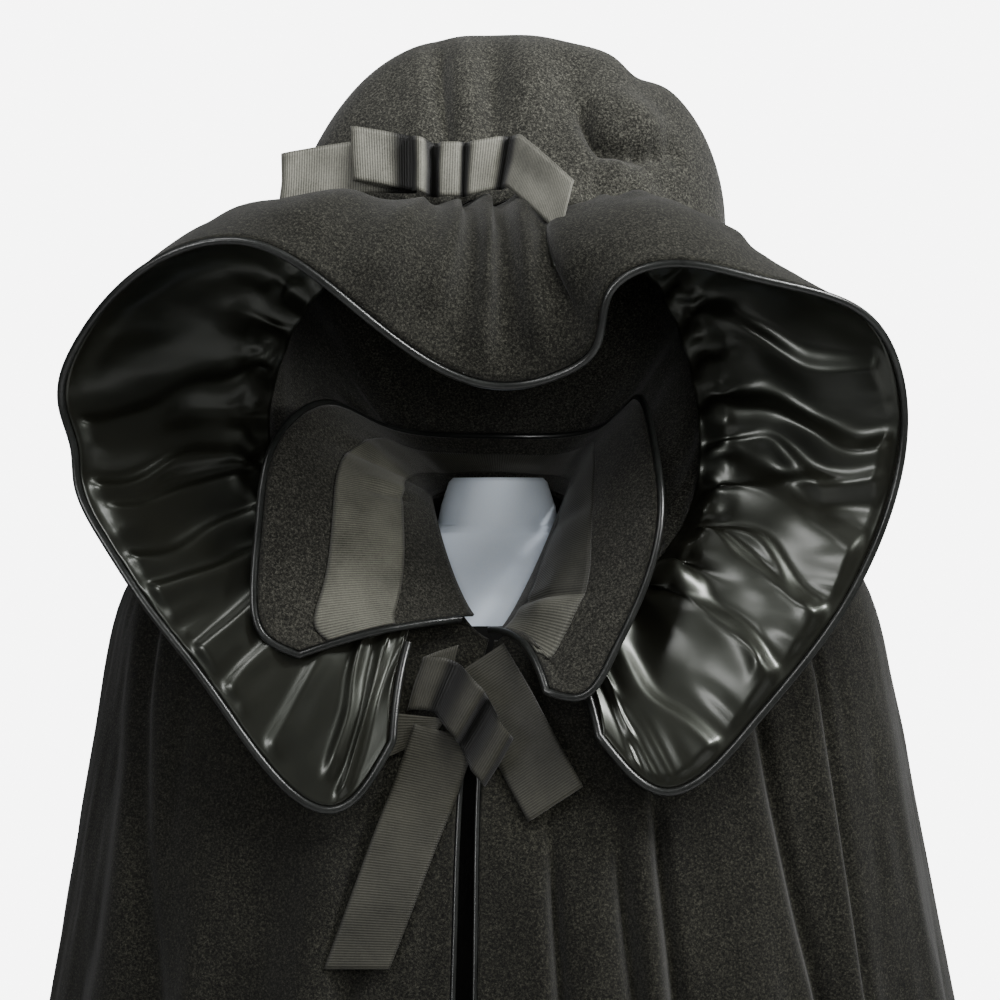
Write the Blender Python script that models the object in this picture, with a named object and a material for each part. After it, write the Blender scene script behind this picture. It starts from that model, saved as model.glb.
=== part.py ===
"""A hooded wool cloak on a dress form.

Metres, +Z up. The front of the cloak faces -Y. The origin is the middle of the stand's underside.
Heights in the tables are measured from LEVEL, which runs through the neck of the form.
"""

import math
from collections import namedtuple

import bpy
import numpy as np

for leftover in list(bpy.data.objects):
    bpy.data.objects.remove(leftover, do_unlink=True)

# Driving sizes
LEVEL = 1.365
WOOL = 0.0020
SATIN = 0.0009
RIBBON = 0.0009
SEAM_GAP = 0.0003
BRIM_PIPING = 0.0026
COLLAR_PIPING = 0.0024
FRONT_PIPING = 0.0017
GATHERS = 26
GATHER_START = 0.10
GATHER_DEPTH = 0.0022
FACING_FOLD = 0.0032
GATHER_REACH = 0.30
CROWN_GATHER_REACH = 0.12
MITRE_LIMIT = 0.6

# The cloak body: level sections from the neck seam to the hem.
# drop and rise are how sharply a section turns from its side to its front and to its back, cut is how
# far the right of its front is cut in (1 is a plain oval), and fold is the share of each fold that shows.
Section = namedtuple("Section", "name half_width front back side_z front_z back_z drop rise cut fold")
BODY = [
    Section("neck", 0.0548, 0.088, 0.0735, -0.002, -0.0930, 0.0105, 2.0, 1.3, 1.6, 0.00),
    Section("yoke", 0.125, 0.104, 0.095, -0.016, -0.120, -0.010, 2.7, 2.7, 1.2, 0.00),
    Section("shoulder", 0.195, 0.120, 0.115, -0.0270, -0.153, -0.034, 3.2, 3.2, 1.0, 0.01),
    Section("point", 0.242, 0.132, 0.129, -0.040, -0.190, -0.068, 3.2, 3.2, 1.0, 0.04),
    Section("arm", 0.260, 0.141, 0.139, -0.068, -0.225, -0.107, 3.0, 3.0, 1.0, 0.10),
    Section("chest", 0.270, 0.149, 0.148, -0.110, -0.262, -0.153, 2.6, 2.6, 1.0, 0.18),
    Section("ribs", 0.284, 0.160, 0.161, -0.190, -0.318, -0.226, 2.2, 2.2, 1.0, 0.27),
    Section("waist", 0.311, 0.178, 0.184, -0.355, -0.420, -0.375, 2.0, 2.0, 1.0, 0.42),
    Section("hip", 0.350, 0.214, 0.226, -0.610, -0.640, -0.620, 2.0, 2.0, 1.0, 0.62),
    Section("knee", 0.398, 0.262, 0.280, -0.925, -0.938, -0.930, 2.0, 2.0, 1.0, 0.82),
    Section("hem", 0.444, 0.312, 0.334, -1.225, -1.225, -1.225, 2.0, 2.0, 1.0, 1.00),
]
LEFT_EDGE = -6.2
RIGHT_EDGE = -2.6
SIDE_SEAM = 100.0

# Ridges of the hanging folds: angle from the front, at the chest and at the hem, in degrees.
Fold = namedtuple("Fold", "name chest hem width height")
FOLDS = [
    Fold("left inner", -26.0, -24.0, 6.5, 0.034),
    Fold("left middle", -42.0, -38.0, 5.5, 0.022),
    Fold("left outer", -58.0, -56.0, 6.0, 0.026),
    Fold("left side", -80.0, -76.0, 7.0, 0.010),
    Fold("right edge", 2.5, 2.5, 4.0, 0.012),
    Fold("right inner", 12.5, 13.0, 2.8, 0.026),
    Fold("right narrow", 19.6, 20.2, 2.0, 0.020),
    Fold("right broad", 31.0, 32.5, 7.0, 0.030),
    Fold("right outer", 52.0, 47.5, 3.4, 0.022),
    Fold("right side", 72.0, 66.0, 8.0, 0.030),
    Fold("back 1", 97.0, 97.0, 7.0, 0.036),
    Fold("back 2", 117.0, 116.0, 6.0, 0.030),
    Fold("back 3", 136.0, 134.0, 7.0, 0.026),
    Fold("back 4", 156.0, 154.0, 5.5, 0.032),
    Fold("back 5", 174.0, 172.0, 6.5, 0.028),
    Fold("back 6", 193.0, 192.0, 5.5, 0.030),
    Fold("back 7", 213.0, 211.0, 7.0, 0.030),
    Fold("back 8", 232.0, 231.0, 6.0, 0.026),
    Fold("back 9", 252.0, 252.0, 7.0, 0.030),
    Fold("back 10", 266.0, 268.0, 5.0, 0.012),
]

# The neck seam, an oval that drops to the front and is cut in on the right.
NECK = Section("seam", 0.046, 0.091, 0.064, 0.005, -0.085, 0.015, 2.0, 2.0, 1.6, 0.0)

# The brim: sections from the left end, up over the face and down to the right end.
# g is the point on the gathered face line, e the point on the outer edge, and lift is how far the
# section bows out to its wool side.
BrimRow = namedtuple("BrimRow", "place gx gy gz ex ey ez lift")
BRIM = [
    BrimRow("left end", -0.056, -0.096, -0.076, -0.070, -0.147, -0.154, -0.010),
    BrimRow("left tip", -0.064, -0.095, -0.070, -0.100, -0.154, -0.193, -0.010),
    BrimRow("left chest", -0.092, -0.092, -0.048, -0.182, -0.145, -0.119, -0.006),
    BrimRow("left shoulder", -0.126, -0.085, -0.021, -0.226, -0.135, -0.064, 0.004),
    BrimRow("left elbow", -0.140, -0.080, -0.004, -0.251, -0.126, -0.028, 0.010),
    BrimRow("left low side", -0.150, -0.074, 0.020, -0.271, -0.118, 0.010, 0.016),
    BrimRow("left notch", -0.153, -0.070, 0.043, -0.2735, -0.120, 0.036, 0.018),
    BrimRow("left side", -0.153, -0.067, 0.060, -0.2800, -0.124, 0.060, 0.022),
    BrimRow("left high side", -0.146, -0.062, 0.093, -0.268, -0.146, 0.098, 0.034),
    BrimRow("left lobe", -0.122, -0.060, 0.138, -0.203, -0.188, 0.154, 0.066),
    BrimRow("left lobe top", -0.100, -0.062, 0.160, -0.156, -0.198, 0.161, 0.064),
    BrimRow("left fall", -0.056, -0.067, 0.186, -0.088, -0.193, 0.122, 0.070),
    BrimRow("dip", -0.006, -0.070, 0.197, -0.004, -0.172, 0.075, 0.074),
    BrimRow("right of dip", 0.030, -0.070, 0.196, 0.042, -0.176, 0.083, 0.072),
    BrimRow("right turn", 0.050, -0.069, 0.192, 0.060, -0.185, 0.098, 0.066),
    BrimRow("right rise", 0.067, -0.067, 0.184, 0.067, -0.195, 0.128, 0.064),
    BrimRow("right lobe top", 0.086, -0.064, 0.170, 0.094, -0.200, 0.146, 0.072),
    BrimRow("right lobe", 0.112, -0.061, 0.136, 0.160, -0.190, 0.139, 0.065),
    BrimRow("right high side", 0.130, -0.063, 0.086, 0.236, -0.154, 0.114, 0.040),
    BrimRow("right side", 0.135, -0.069, 0.048, 0.260, -0.126, 0.067, 0.020),
    BrimRow("right low side", 0.130, -0.078, 0.000, 0.254, -0.116, 0.000, 0.016),
    BrimRow("right shoulder", 0.104, -0.087, -0.042, 0.217, -0.124, -0.076, 0.006),
    BrimRow("right chest", 0.074, -0.092, -0.064, 0.160, -0.142, -0.144, -0.004),
    BrimRow("right tip", 0.050, -0.095, -0.080, 0.104, -0.153, -0.183, -0.010),
    BrimRow("right end", 0.041, -0.096, -0.085, 0.067, -0.148, -0.150, -0.010),
]

# The hood crown, by the places of the brim's rows: c is the point on its crest, seen from the front,
# and b the point on its back.
CrownRow = namedtuple("CrownRow", "place cx cy cz bx by bz")
CROWN = [
    CrownRow("left end", -0.053, -0.088, -0.066, -0.048, -0.082, -0.058),
    CrownRow("left chest", -0.084, -0.078, -0.034, -0.071, -0.061, -0.028),
    CrownRow("left shoulder", -0.116, -0.062, -0.002, -0.092, -0.035, 0.002),
    CrownRow("left low side", -0.146, -0.025, 0.050, -0.108, 0.020, 0.048),
    CrownRow("left side", -0.153, 0.000, 0.094, -0.120, 0.060, 0.078),
    CrownRow("left high side", -0.152, 0.012, 0.134, -0.122, 0.090, 0.102),
    CrownRow("left lobe", -0.146, 0.022, 0.205, -0.112, 0.125, 0.140),
    CrownRow("left lobe top", -0.128, 0.026, 0.250, -0.092, 0.138, 0.165),
    CrownRow("left fall", -0.080, 0.030, 0.310, -0.052, 0.152, 0.195),
    CrownRow("dip", -0.008, 0.032, 0.330, -0.006, 0.158, 0.205),
    CrownRow("right turn", 0.066, 0.032, 0.321, 0.040, 0.155, 0.198),
    CrownRow("right lobe top", 0.128, 0.030, 0.281, 0.085, 0.142, 0.172),
    CrownRow("right lobe", 0.156, 0.026, 0.220, 0.112, 0.125, 0.138),
    CrownRow("right high side", 0.152, 0.014, 0.140, 0.120, 0.085, 0.100),
    CrownRow("right side", 0.144, -0.004, 0.088, 0.110, 0.050, 0.070),
    CrownRow("right low side", 0.130, -0.030, 0.034, 0.096, 0.015, 0.040),
    CrownRow("right shoulder", 0.099, -0.062, -0.008, 0.077, -0.035, 0.006),
    CrownRow("right chest", 0.070, -0.078, -0.040, 0.059, -0.062, -0.028),
    CrownRow("right end", 0.042, -0.088, -0.072, 0.040, -0.082, -0.062),
]
CROWN_KNOTS = np.array([0.0, 0.32, 0.64, 1.0])
CROWN_START = 38.0
CROWN_LAP = 0.0007
CROWN_BACK = 0.0008
NECK_LAYERS = 0.0042
NECK_DROP = 0.0052
COLLAR_DROP = 0.0016
Dent = namedtuple("Dent", "name along across along_size across_size depth")
DENTS = [
    Dent("right crease", 0.588, 0.075, 0.022, 0.030, 0.009),
    Dent("right lobe", 0.600, 0.170, 0.026, 0.060, -0.006),
    Dent("right notch", 0.583, 0.340, 0.014, 0.090, 0.008),
    Dent("left hollow", 0.440, 0.180, 0.030, 0.060, 0.004),
    Dent("back fold left", 0.420, 0.70, 0.030, 0.16, 0.010),
    Dent("back fold right", 0.570, 0.74, 0.030, 0.15, 0.010),
]

# The collar: from its left front edge round the back of the neck to its right front edge.
# angle is the place on the neck seam, e the point on the outer edge, roll how far it bows to its face,
# and inner and outer are the edges of the ribbon band, as shares of the way across.
CollarRow = namedtuple("CollarRow", "place angle ex ey ez roll inner outer")
COLLAR = [
    CollarRow("left front", -20.0, -0.128, -0.136, -0.097, 0.020, 0.475, 0.850),
    CollarRow("left corner", -25.0, -0.150, -0.136, -0.084, 0.020, 0.390, 0.780),
    CollarRow("left wing", -34.0, -0.155, -0.133, -0.062, 0.020, 0.320, 0.710),
    CollarRow("left middle", -55.0, -0.153, -0.122, -0.018, 0.018, 0.250, 0.660),
    CollarRow("left shoulder", -80.0, -0.148, -0.104, 0.028, 0.014, 0.220, 0.640),
    CollarRow("left side", -108.0, -0.120, -0.050, 0.064, 0.006, 0.200, 0.600),
    CollarRow("left back", -142.0, -0.074, 0.036, 0.050, 0.003, 0.200, 0.600),
    CollarRow("back", -180.0, 0.000, 0.080, 0.045, 0.002, 0.200, 0.600),
    CollarRow("right back", -218.0, 0.070, 0.040, 0.050, 0.003, 0.180, 0.580),
    CollarRow("right side", -258.0, 0.094, -0.036, 0.069, 0.008, 0.140, 0.520),
    CollarRow("right shoulder", -290.0, 0.101, -0.104, 0.030, 0.016, 0.110, 0.500),
    CollarRow("right middle", -312.0, 0.102, -0.135, -0.013, 0.022, 0.120, 0.560),
    CollarRow("right wing", -334.0, 0.091, -0.150, -0.054, 0.026, 0.160, 0.670),
    CollarRow("right low wing", -348.0, 0.069, -0.160, -0.100, 0.028, 0.110, 0.690),
    CollarRow("right corner", -358.0, 0.051, -0.165, -0.122, 0.028, 0.060, 0.690),
    CollarRow("right front", -364.0, 0.033, -0.162, -0.119, 0.026, 0.045, 0.690),
]
COLLAR_COLUMNS = 41
BELOW_BAND = (0.0, 0.3)
BAND_ROWS = 3
OUTER_ROWS = 3

# The ribbons of the two bows, as centre lines with a lean: the angle of the ribbon's width from
# upright, in degrees, turning to +X.
RibbonRow = namedtuple("RibbonRow", "x y z lean")
HOOD_RIBBON = 0.036
NECK_RIBBON = 0.042
TAIL_LEFT_RIBBON = 0.032
RIBBON_SHARES = (-0.5, 0.0, 0.5)
HOOD_BOW = [
    RibbonRow(-0.092, -0.0720, 0.222, 2.0),
    RibbonRow(-0.118, -0.0690, 0.218, 2.0),
    RibbonRow(-0.142, -0.0705, 0.214, 2.0),
    RibbonRow(-0.147, -0.0755, 0.2135, 2.0),
    RibbonRow(-0.142, -0.0805, 0.214, 2.0),
    RibbonRow(-0.118, -0.0820, 0.218, 2.0),
    RibbonRow(-0.084, -0.0825, 0.223, 2.0),
    RibbonRow(-0.058, -0.0830, 0.222, 0.0),
    RibbonRow(-0.053, -0.0850, 0.222, 0.0),
    RibbonRow(-0.058, -0.0875, 0.223, 0.0),
    RibbonRow(-0.080, -0.0880, 0.226, -2.0),
    RibbonRow(-0.094, -0.0890, 0.229, -3.0),
    RibbonRow(-0.098, -0.0925, 0.2295, -3.0),
    RibbonRow(-0.093, -0.0960, 0.229, -3.0),
    RibbonRow(-0.075, -0.0965, 0.226, -2.0),
    RibbonRow(-0.057, -0.0950, 0.2225, 0.0),
    RibbonRow(-0.053, -0.1040, 0.2215, 0.0),
    RibbonRow(-0.049, -0.1040, 0.2205, 0.0),
    RibbonRow(-0.045, -0.0900, 0.219, 0.0),
    RibbonRow(-0.040, -0.0890, 0.2185, 0.0),
    RibbonRow(-0.038, -0.0980, 0.2185, 2.0),
    RibbonRow(-0.026, -0.0990, 0.2185, 2.0),
    RibbonRow(-0.022, -0.0910, 0.2185, 2.0),
    RibbonRow(-0.018, -0.0990, 0.219, 4.0),
    RibbonRow(-0.002, -0.1000, 0.222, 8.0),
    RibbonRow(0.005, -0.0920, 0.223, 10.0),
    RibbonRow(0.010, -0.1030, 0.2235, 14.0),
    RibbonRow(0.020, -0.1180, 0.213, 14.0),
    RibbonRow(0.032, -0.1350, 0.200, 14.0),
    RibbonRow(0.044, -0.1490, 0.187, 14.0),
]
NECK_LOOPS = [
    RibbonRow(-0.030, -0.1140, -0.112, 14.0),
    RibbonRow(-0.044, -0.1150, -0.116, 15.0),
    RibbonRow(-0.052, -0.1170, -0.119, 16.0),
    RibbonRow(-0.055, -0.1205, -0.120, 17.0),
    RibbonRow(-0.052, -0.1240, -0.119, 18.0),
    RibbonRow(-0.041, -0.1255, -0.119, 20.0),
    RibbonRow(-0.033, -0.1240, -0.122, 24.0),
    RibbonRow(-0.0240, -0.1390, -0.1320, 29.0),
    RibbonRow(-0.0180, -0.1405, -0.1375, 31.0),
    RibbonRow(-0.0155, -0.1304, -0.1430, 31.0),
    RibbonRow(-0.0120, -0.1306, -0.1500, 31.0),
    RibbonRow(-0.0075, -0.1440, -0.1590, 31.0),
    RibbonRow(-0.0015, -0.1455, -0.1650, 31.0),
    RibbonRow(0.0010, -0.1375, -0.1690, 31.0),
]
NECK_TAIL_LEFT = [
    RibbonRow(-0.0500, -0.1247, -0.140, 96.0),
    RibbonRow(-0.0540, -0.1260, -0.150, 84.0),
    RibbonRow(-0.0590, -0.1274, -0.161, 66.0),
]
NECK_TAIL_SHORT = [
    RibbonRow(-0.014, -0.1116, -0.105, 57.0),
    RibbonRow(0.004, -0.1176, -0.135, 57.0),
    RibbonRow(0.020, -0.1306, -0.165, 57.0),
    RibbonRow(0.037, -0.1426, -0.195, 57.0),
]
NECK_TAIL_LONG = [
    RibbonRow(-0.034, -0.1273, -0.150, 104.0),
    RibbonRow(-0.046, -0.1333, -0.185, 102.0),
    RibbonRow(-0.060, -0.1433, -0.2195, 98.0),
    RibbonRow(-0.076, -0.1543, -0.262, 94.0),
    RibbonRow(-0.0896, -0.1603, -0.2976, 90.0),
]

# The dress form: level sections.
FormRow = namedtuple("FormRow", "name z half_width front back")
FORM = [
    FormRow("neck top", 0.0155, 0.0345, 0.038, 0.036),
    FormRow("neck", -0.004, 0.0400, 0.041, 0.040),
    FormRow("neck base", -0.017, 0.0425, 0.043, 0.043),
    FormRow("collarbone", -0.0220, 0.0700, 0.041, 0.045),
    FormRow("shoulder top", -0.0240, 0.1350, 0.040, 0.048),
    FormRow("shoulder", -0.0283, 0.1830, 0.041, 0.050),
    FormRow("shoulder end", -0.0480, 0.2070, 0.050, 0.060),
    FormRow("arm plate top", -0.0850, 0.2160, 0.064, 0.078),
    FormRow("arm plate", -0.1400, 0.2080, 0.084, 0.092),
    FormRow("bust", -0.2250, 0.1820, 0.104, 0.100),
    FormRow("under bust", -0.3000, 0.1550, 0.100, 0.094),
    FormRow("waist", -0.4000, 0.1260, 0.088, 0.082),
    FormRow("hip", -0.5600, 0.1680, 0.104, 0.110),
    FormRow("bottom", -0.6600, 0.1600, 0.098, 0.104),
]
FORM_SIDES = 28
FORM_EDGE = 0.006
FORM_JOIN = "arm plate top"
POLE_RADIUS = 0.016
POLE_SIDES = 20
BASE_RADIUS = 0.190
BASE_CROWN = 0.057
BASE_HEIGHT = 0.026
BASE_RIM = 0.008
BASE_EDGE = 0.006
BASE_SIDES = 40


def values(table, *names):
    """Columns of a table as an array with a row for each of its rows."""
    return np.array([[getattr(row, name) for name in names] for row in table], dtype=float)


def spline(knots, points, at):
    """A natural cubic curve through the points, read at the places given."""
    count = len(knots)
    steps = np.diff(knots)
    system = np.eye(count)
    right = np.zeros(points.shape)
    for i in range(1, count - 1):
        system[i, i - 1] = steps[i - 1]
        system[i, i] = 2.0 * (steps[i - 1] + steps[i])
        system[i, i + 1] = steps[i]
        after = (points[i + 1] - points[i]) / steps[i]
        before = (points[i] - points[i - 1]) / steps[i - 1]
        right[i] = 6.0 * (after - before)
    bend = np.linalg.solve(system, right)
    at = np.asarray(at, dtype=float)
    span = np.clip(np.searchsorted(knots, at) - 1, 0, count - 2)
    step = steps[span][:, None]
    low = ((knots[span + 1] - at) / steps[span])[:, None]
    high = 1.0 - low
    straight = low * points[span] + high * points[span + 1]
    curved = (low ** 3 - low) * bend[span] + (high ** 3 - high) * bend[span + 1]
    return straight + curved * step ** 2 / 6.0


def chord_knots(points):
    """Places from 0 to 1 along a row of points, by their distance."""
    lengths = np.linalg.norm(np.diff(points, axis=0), axis=1)
    total = np.concatenate([[0.0], np.cumsum(lengths)])
    return total / total[-1]


def unit(vectors):
    return vectors / np.maximum(np.linalg.norm(vectors, axis=-1, keepdims=True), 1e-12)


def grid_normals(grid):
    """Unit normals of a grid of points: across its columns, then its rows."""
    return unit(np.cross(np.gradient(grid, axis=1), np.gradient(grid, axis=0)))


def raise_to_level(points):
    return np.asarray(points) + np.array([0.0, 0.0, LEVEL])


def material(name, colour, roughness, metallic=0.0):
    made = bpy.data.materials.new(name)
    made.use_nodes = True
    shader = made.node_tree.nodes["Principled BSDF"]
    shader.inputs["Base Color"].default_value = (*colour, 1.0)
    shader.inputs["Roughness"].default_value = roughness
    shader.inputs["Metallic"].default_value = metallic
    return made


WOOL_CLOTH = material("wool", (0.021, 0.021, 0.017), 0.95)
SATIN_CLOTH = material("satin", (0.008, 0.008, 0.007), 0.28)
RIBBED_RIBBON = material("ribbed ribbon", (0.055, 0.055, 0.044), 0.70)
PIPING_CORD = material("piping", (0.012, 0.013, 0.012), 0.35)
FORM_COVER = material("form cover", (0.52, 0.54, 0.62), 0.85)
FORM_JERSEY = material("form jersey", (0.012, 0.012, 0.011), 0.90)
STAND_METAL = material("stand metal", (0.06, 0.06, 0.06), 0.45, 0.9)


def add_mesh(name, points, faces, finish):
    mesh = bpy.data.meshes.new(name)
    mesh.from_pydata([tuple(point) for point in points], [], faces)
    mesh.materials.append(finish)
    mesh.shade_smooth()
    made = bpy.data.objects.new(name, mesh)
    bpy.context.scene.collection.objects.link(made)
    return made


def cloth(name, grid, thickness, finish, normals=None):
    """A wall behind the face of a grid of points, whose normals point to its face."""
    rows, columns = grid.shape[:2]
    if normals is None:
        normals = grid_normals(grid)
    face = grid.reshape(-1, 3)
    behind = (grid - normals * thickness).reshape(-1, 3)
    count = rows * columns
    faces = []
    for row in range(rows - 1):
        for column in range(columns - 1):
            a = row * columns + column
            b, c, d = a + 1, a + columns + 1, a + columns
            faces += [(a, b, c), (a, c, d)]
            faces += [(count + c, count + b, count + a), (count + d, count + c, count + a)]
    first_row = list(range(columns))
    last_column = [row * columns + columns - 1 for row in range(1, rows)]
    last_row = [(rows - 1) * columns + column for column in reversed(range(columns - 1))]
    first_column = [row * columns for row in reversed(range(1, rows - 1))]
    rim = first_row + last_column + last_row + first_column
    for here, after in zip(rim, rim[1:] + rim[:1]):
        faces.append((after, here, count + here, count + after))
    return add_mesh(name, raise_to_level(np.concatenate([face, behind])), faces, finish)


def tube(name, path, radius, finish):
    """A round cord along a path."""
    curve = bpy.data.curves.new(name, "CURVE")
    curve.dimensions = "3D"
    curve.bevel_depth = radius
    curve.bevel_resolution = 1
    curve.use_fill_caps = True
    line = curve.splines.new("POLY")
    line.points.add(len(path) - 1)
    for point, place in zip(line.points, raise_to_level(path)):
        point.co = (*place, 1.0)
    curve.materials.append(finish)
    made = bpy.data.objects.new(name, curve)
    bpy.context.scene.collection.objects.link(made)
    return made


def oval(section, angle, grow=0.0):
    """A point of a level section, at an angle from the front, and its outward direction."""
    half_width, front_depth, back_depth, side_z, front_z, back_z, drop, rise, cut = section
    across = np.sin(angle)
    ahead = np.cos(angle)
    front = np.maximum(ahead, 0.0) ** drop
    back = np.maximum(-ahead, 0.0) ** rise
    depth = np.where(ahead > 0.0, front_depth, back_depth)
    out = unit(np.stack([across * depth, -ahead * half_width, 0.0 * across], axis=-1))
    height = side_z + (front_z - side_z) * front + (back_z - side_z) * back
    cut_in = np.where((across > 0.0) & (ahead > 0.0), np.abs(across) ** cut, across)
    point = np.stack([half_width * cut_in, -depth * ahead, height], axis=-1)
    return point + grow * out, out


# The cloak body
SECTION_SIZES = ("half_width", "front", "back", "side_z", "front_z", "back_z", "drop", "rise", "cut")
BODY_KNOTS = chord_knots(values(BODY, "half_width", "side_z"))


def fold_height(angle, down):
    """How far the folds stand out at an angle from the front and a share of the way down."""
    angle = np.degrees(angle)
    total = np.zeros_like(angle)
    for fold in FOLDS:
        middle = fold.chest + (fold.hem - fold.chest) * down
        for turn in (-360.0, 0.0, 360.0):
            total += fold.height * np.exp(-((angle - middle - turn) / fold.width) ** 2)
    return total


def body_panel(start, end, columns):
    """Points and normals of the cloak body between two angles, its face outwards."""
    step = (end - start) / (columns - 1)
    angles = np.radians(np.linspace(start - step, end + step, columns + 2))
    sizes = spline(BODY_KNOTS, values(BODY, *SECTION_SIZES), BODY_DOWN)
    shares = spline(BODY_KNOTS, values(BODY, "fold"), BODY_DOWN)[:, 0]
    grid = []
    for down, size, share in zip(BODY_DOWN, sizes, shares):
        points, out = oval(size, angles)
        stand = fold_height(angles, down) * max(share, 0.0)
        grid.append(points + out * stand[:, None])
    grid = np.array(grid)[:, ::-1]
    return grid[:, 1:-1], grid_normals(grid)[:, 1:-1]


def front_piping(name, panel, column, inward):
    """Piping down a front edge, beside the wall's own edge."""
    grid, normals = panel
    away = unit(grid[:, column] - grid[:, column + inward])
    middle = grid[:, column] - normals[:, column] * WOOL / 2.0
    path = middle + away * (FRONT_PIPING + SEAM_GAP)
    return tube(name, path[FRONT_PIPING_START:], FRONT_PIPING, PIPING_CORD)


BODY_DOWN = np.array([0.0, 0.045, 0.09, 0.13, 0.17, 0.21, 0.26, 0.33, 0.43, 0.56, 0.70, 0.85, 1.0])
LEFT_COLUMNS = 30
RIGHT_COLUMNS = 32
BACK_COLUMNS = 42
FRONT_PIPING_START = 3
SEAM_TURN = math.degrees(SEAM_GAP / BODY[0].half_width)
left_front = body_panel(-SIDE_SEAM + SEAM_TURN, LEFT_EDGE, LEFT_COLUMNS)
right_front = body_panel(RIGHT_EDGE, SIDE_SEAM - SEAM_TURN, RIGHT_COLUMNS)
back_panel = body_panel(SIDE_SEAM, 360.0 - SIDE_SEAM, BACK_COLUMNS)
cloth("cloak_front_left", left_front[0], WOOL, WOOL_CLOTH, left_front[1])
cloth("cloak_front_right", right_front[0], WOOL, WOOL_CLOTH, right_front[1])
cloth("cloak_back", back_panel[0], WOOL, WOOL_CLOTH, back_panel[1])
front_piping("front_piping_left", left_front, 0, 1)
front_piping("front_piping_right", right_front, -1, -1)

# The brim
BRIM_GATHER = values(BRIM, "gx", "gy", "gz")
BRIM_EDGE = values(BRIM, "ex", "ey", "ez")
BRIM_KNOTS = chord_knots(np.hstack([BRIM_GATHER, BRIM_EDGE]))


def brim_lines(along):
    """The gathered line, the outer edge, the bow's control points and the satin side's direction."""
    gather = spline(BRIM_KNOTS, BRIM_GATHER, along)
    edge = spline(BRIM_KNOTS, BRIM_EDGE, along)
    lift = spline(BRIM_KNOTS, values(BRIM, "lift"), along)
    run = np.gradient(gather + edge, axis=0)
    face = unit(np.cross(run, edge - gather))
    middle = (gather + edge) / 2.0 - face * lift
    return gather, middle, edge


def gather_wave(along):
    """The gathers as a wave along the face line, fading out at its two ends."""
    inside = np.clip(np.minimum(along, 1.0 - along) / GATHER_START, 0.0, 1.0)
    phase = GATHERS * (along - GATHER_START) / (1.0 - 2.0 * GATHER_START)
    return np.sin(2.0 * math.pi * phase) * inside


def brim_grid(along, across):
    """Points of the brim, its face the satin side, with the gathers at the face line."""
    gather, middle, edge = brim_lines(along)
    grid = np.array([(1 - v) ** 2 * gather + 2 * v * (1 - v) * middle + v * v * edge for v in across])
    depth = GATHER_DEPTH * np.exp(-(across / GATHER_REACH) ** 2)
    return grid + grid_normals(grid) * (depth[:, None] * gather_wave(along))[:, :, None]


def edge_path(grid, normals, radius, front, behind):
    """The path of a piping round a grid's left side, last row and right side, clear of its wall."""
    inner = [grid[:-1, 1], grid[-2], grid[:-1, -2][::-1]]
    place = np.concatenate([grid[:-1, 0], grid[-1], grid[:-1, -1][::-1]])
    face = np.concatenate([normals[:-1, 0], normals[-1], normals[:-1, -1][::-1]])
    inward = np.concatenate(inner) - place
    segments = unit(np.diff(place, axis=0))
    before = np.concatenate([segments[:1], segments])
    after = np.concatenate([segments, segments[-1:]])
    out = unit(np.cross(before + after, face))
    out *= -np.sign(np.sum(out * inward, axis=1, keepdims=True))
    mitre = np.sqrt((1.0 + np.sum(before * after, axis=1, keepdims=True)) / 2.0)
    reach = (radius + 2.0 * SEAM_GAP) / np.maximum(mitre, MITRE_LIMIT)
    return place + out * reach + face * (front - behind) / 2.0


BRIM_END_COLUMNS = 9
BRIM_END = np.linspace(0.0, GATHER_START, BRIM_END_COLUMNS)
BRIM_MIDDLE = np.linspace(GATHER_START, 1.0 - GATHER_START, 2 * GATHERS, endpoint=False)
BRIM_MIDDLE = BRIM_MIDDLE + (BRIM_MIDDLE[1] - BRIM_MIDDLE[0]) / 2.0
BRIM_ALONG = np.concatenate([BRIM_END, BRIM_MIDDLE, 1.0 - BRIM_END[::-1]])
BRIM_ACROSS = np.array([0.0, 0.14, 0.32, 0.55, 0.78, 1.0])
brim = brim_grid(BRIM_ALONG, BRIM_ACROSS)
brim_normals = grid_normals(brim)
cloth("brim_outer", brim, WOOL, WOOL_CLOTH)

facing_swell = FACING_FOLD * np.sin(math.pi * BRIM_ACROSS) ** 2
facing_wave = 0.5 - 0.5 * gather_wave(BRIM_ALONG)
facing_stand = SEAM_GAP + SATIN + facing_swell[:, None] * facing_wave
facing = brim + brim_normals * facing_stand[:, :, None]
cloth("brim_facing", facing, SATIN, SATIN_CLOTH, brim_normals)
brim_path = edge_path(brim, brim_normals, BRIM_PIPING, SEAM_GAP + SATIN, WOOL)
tube("brim_piping", brim_path[2:-2], BRIM_PIPING, PIPING_CORD)


# The hood crown
BRIM_PLACES = {row.place: knot for row, knot in zip(BRIM, BRIM_KNOTS)}
CROWN_PLACES = np.array([BRIM_PLACES[row.place] for row in CROWN])


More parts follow.
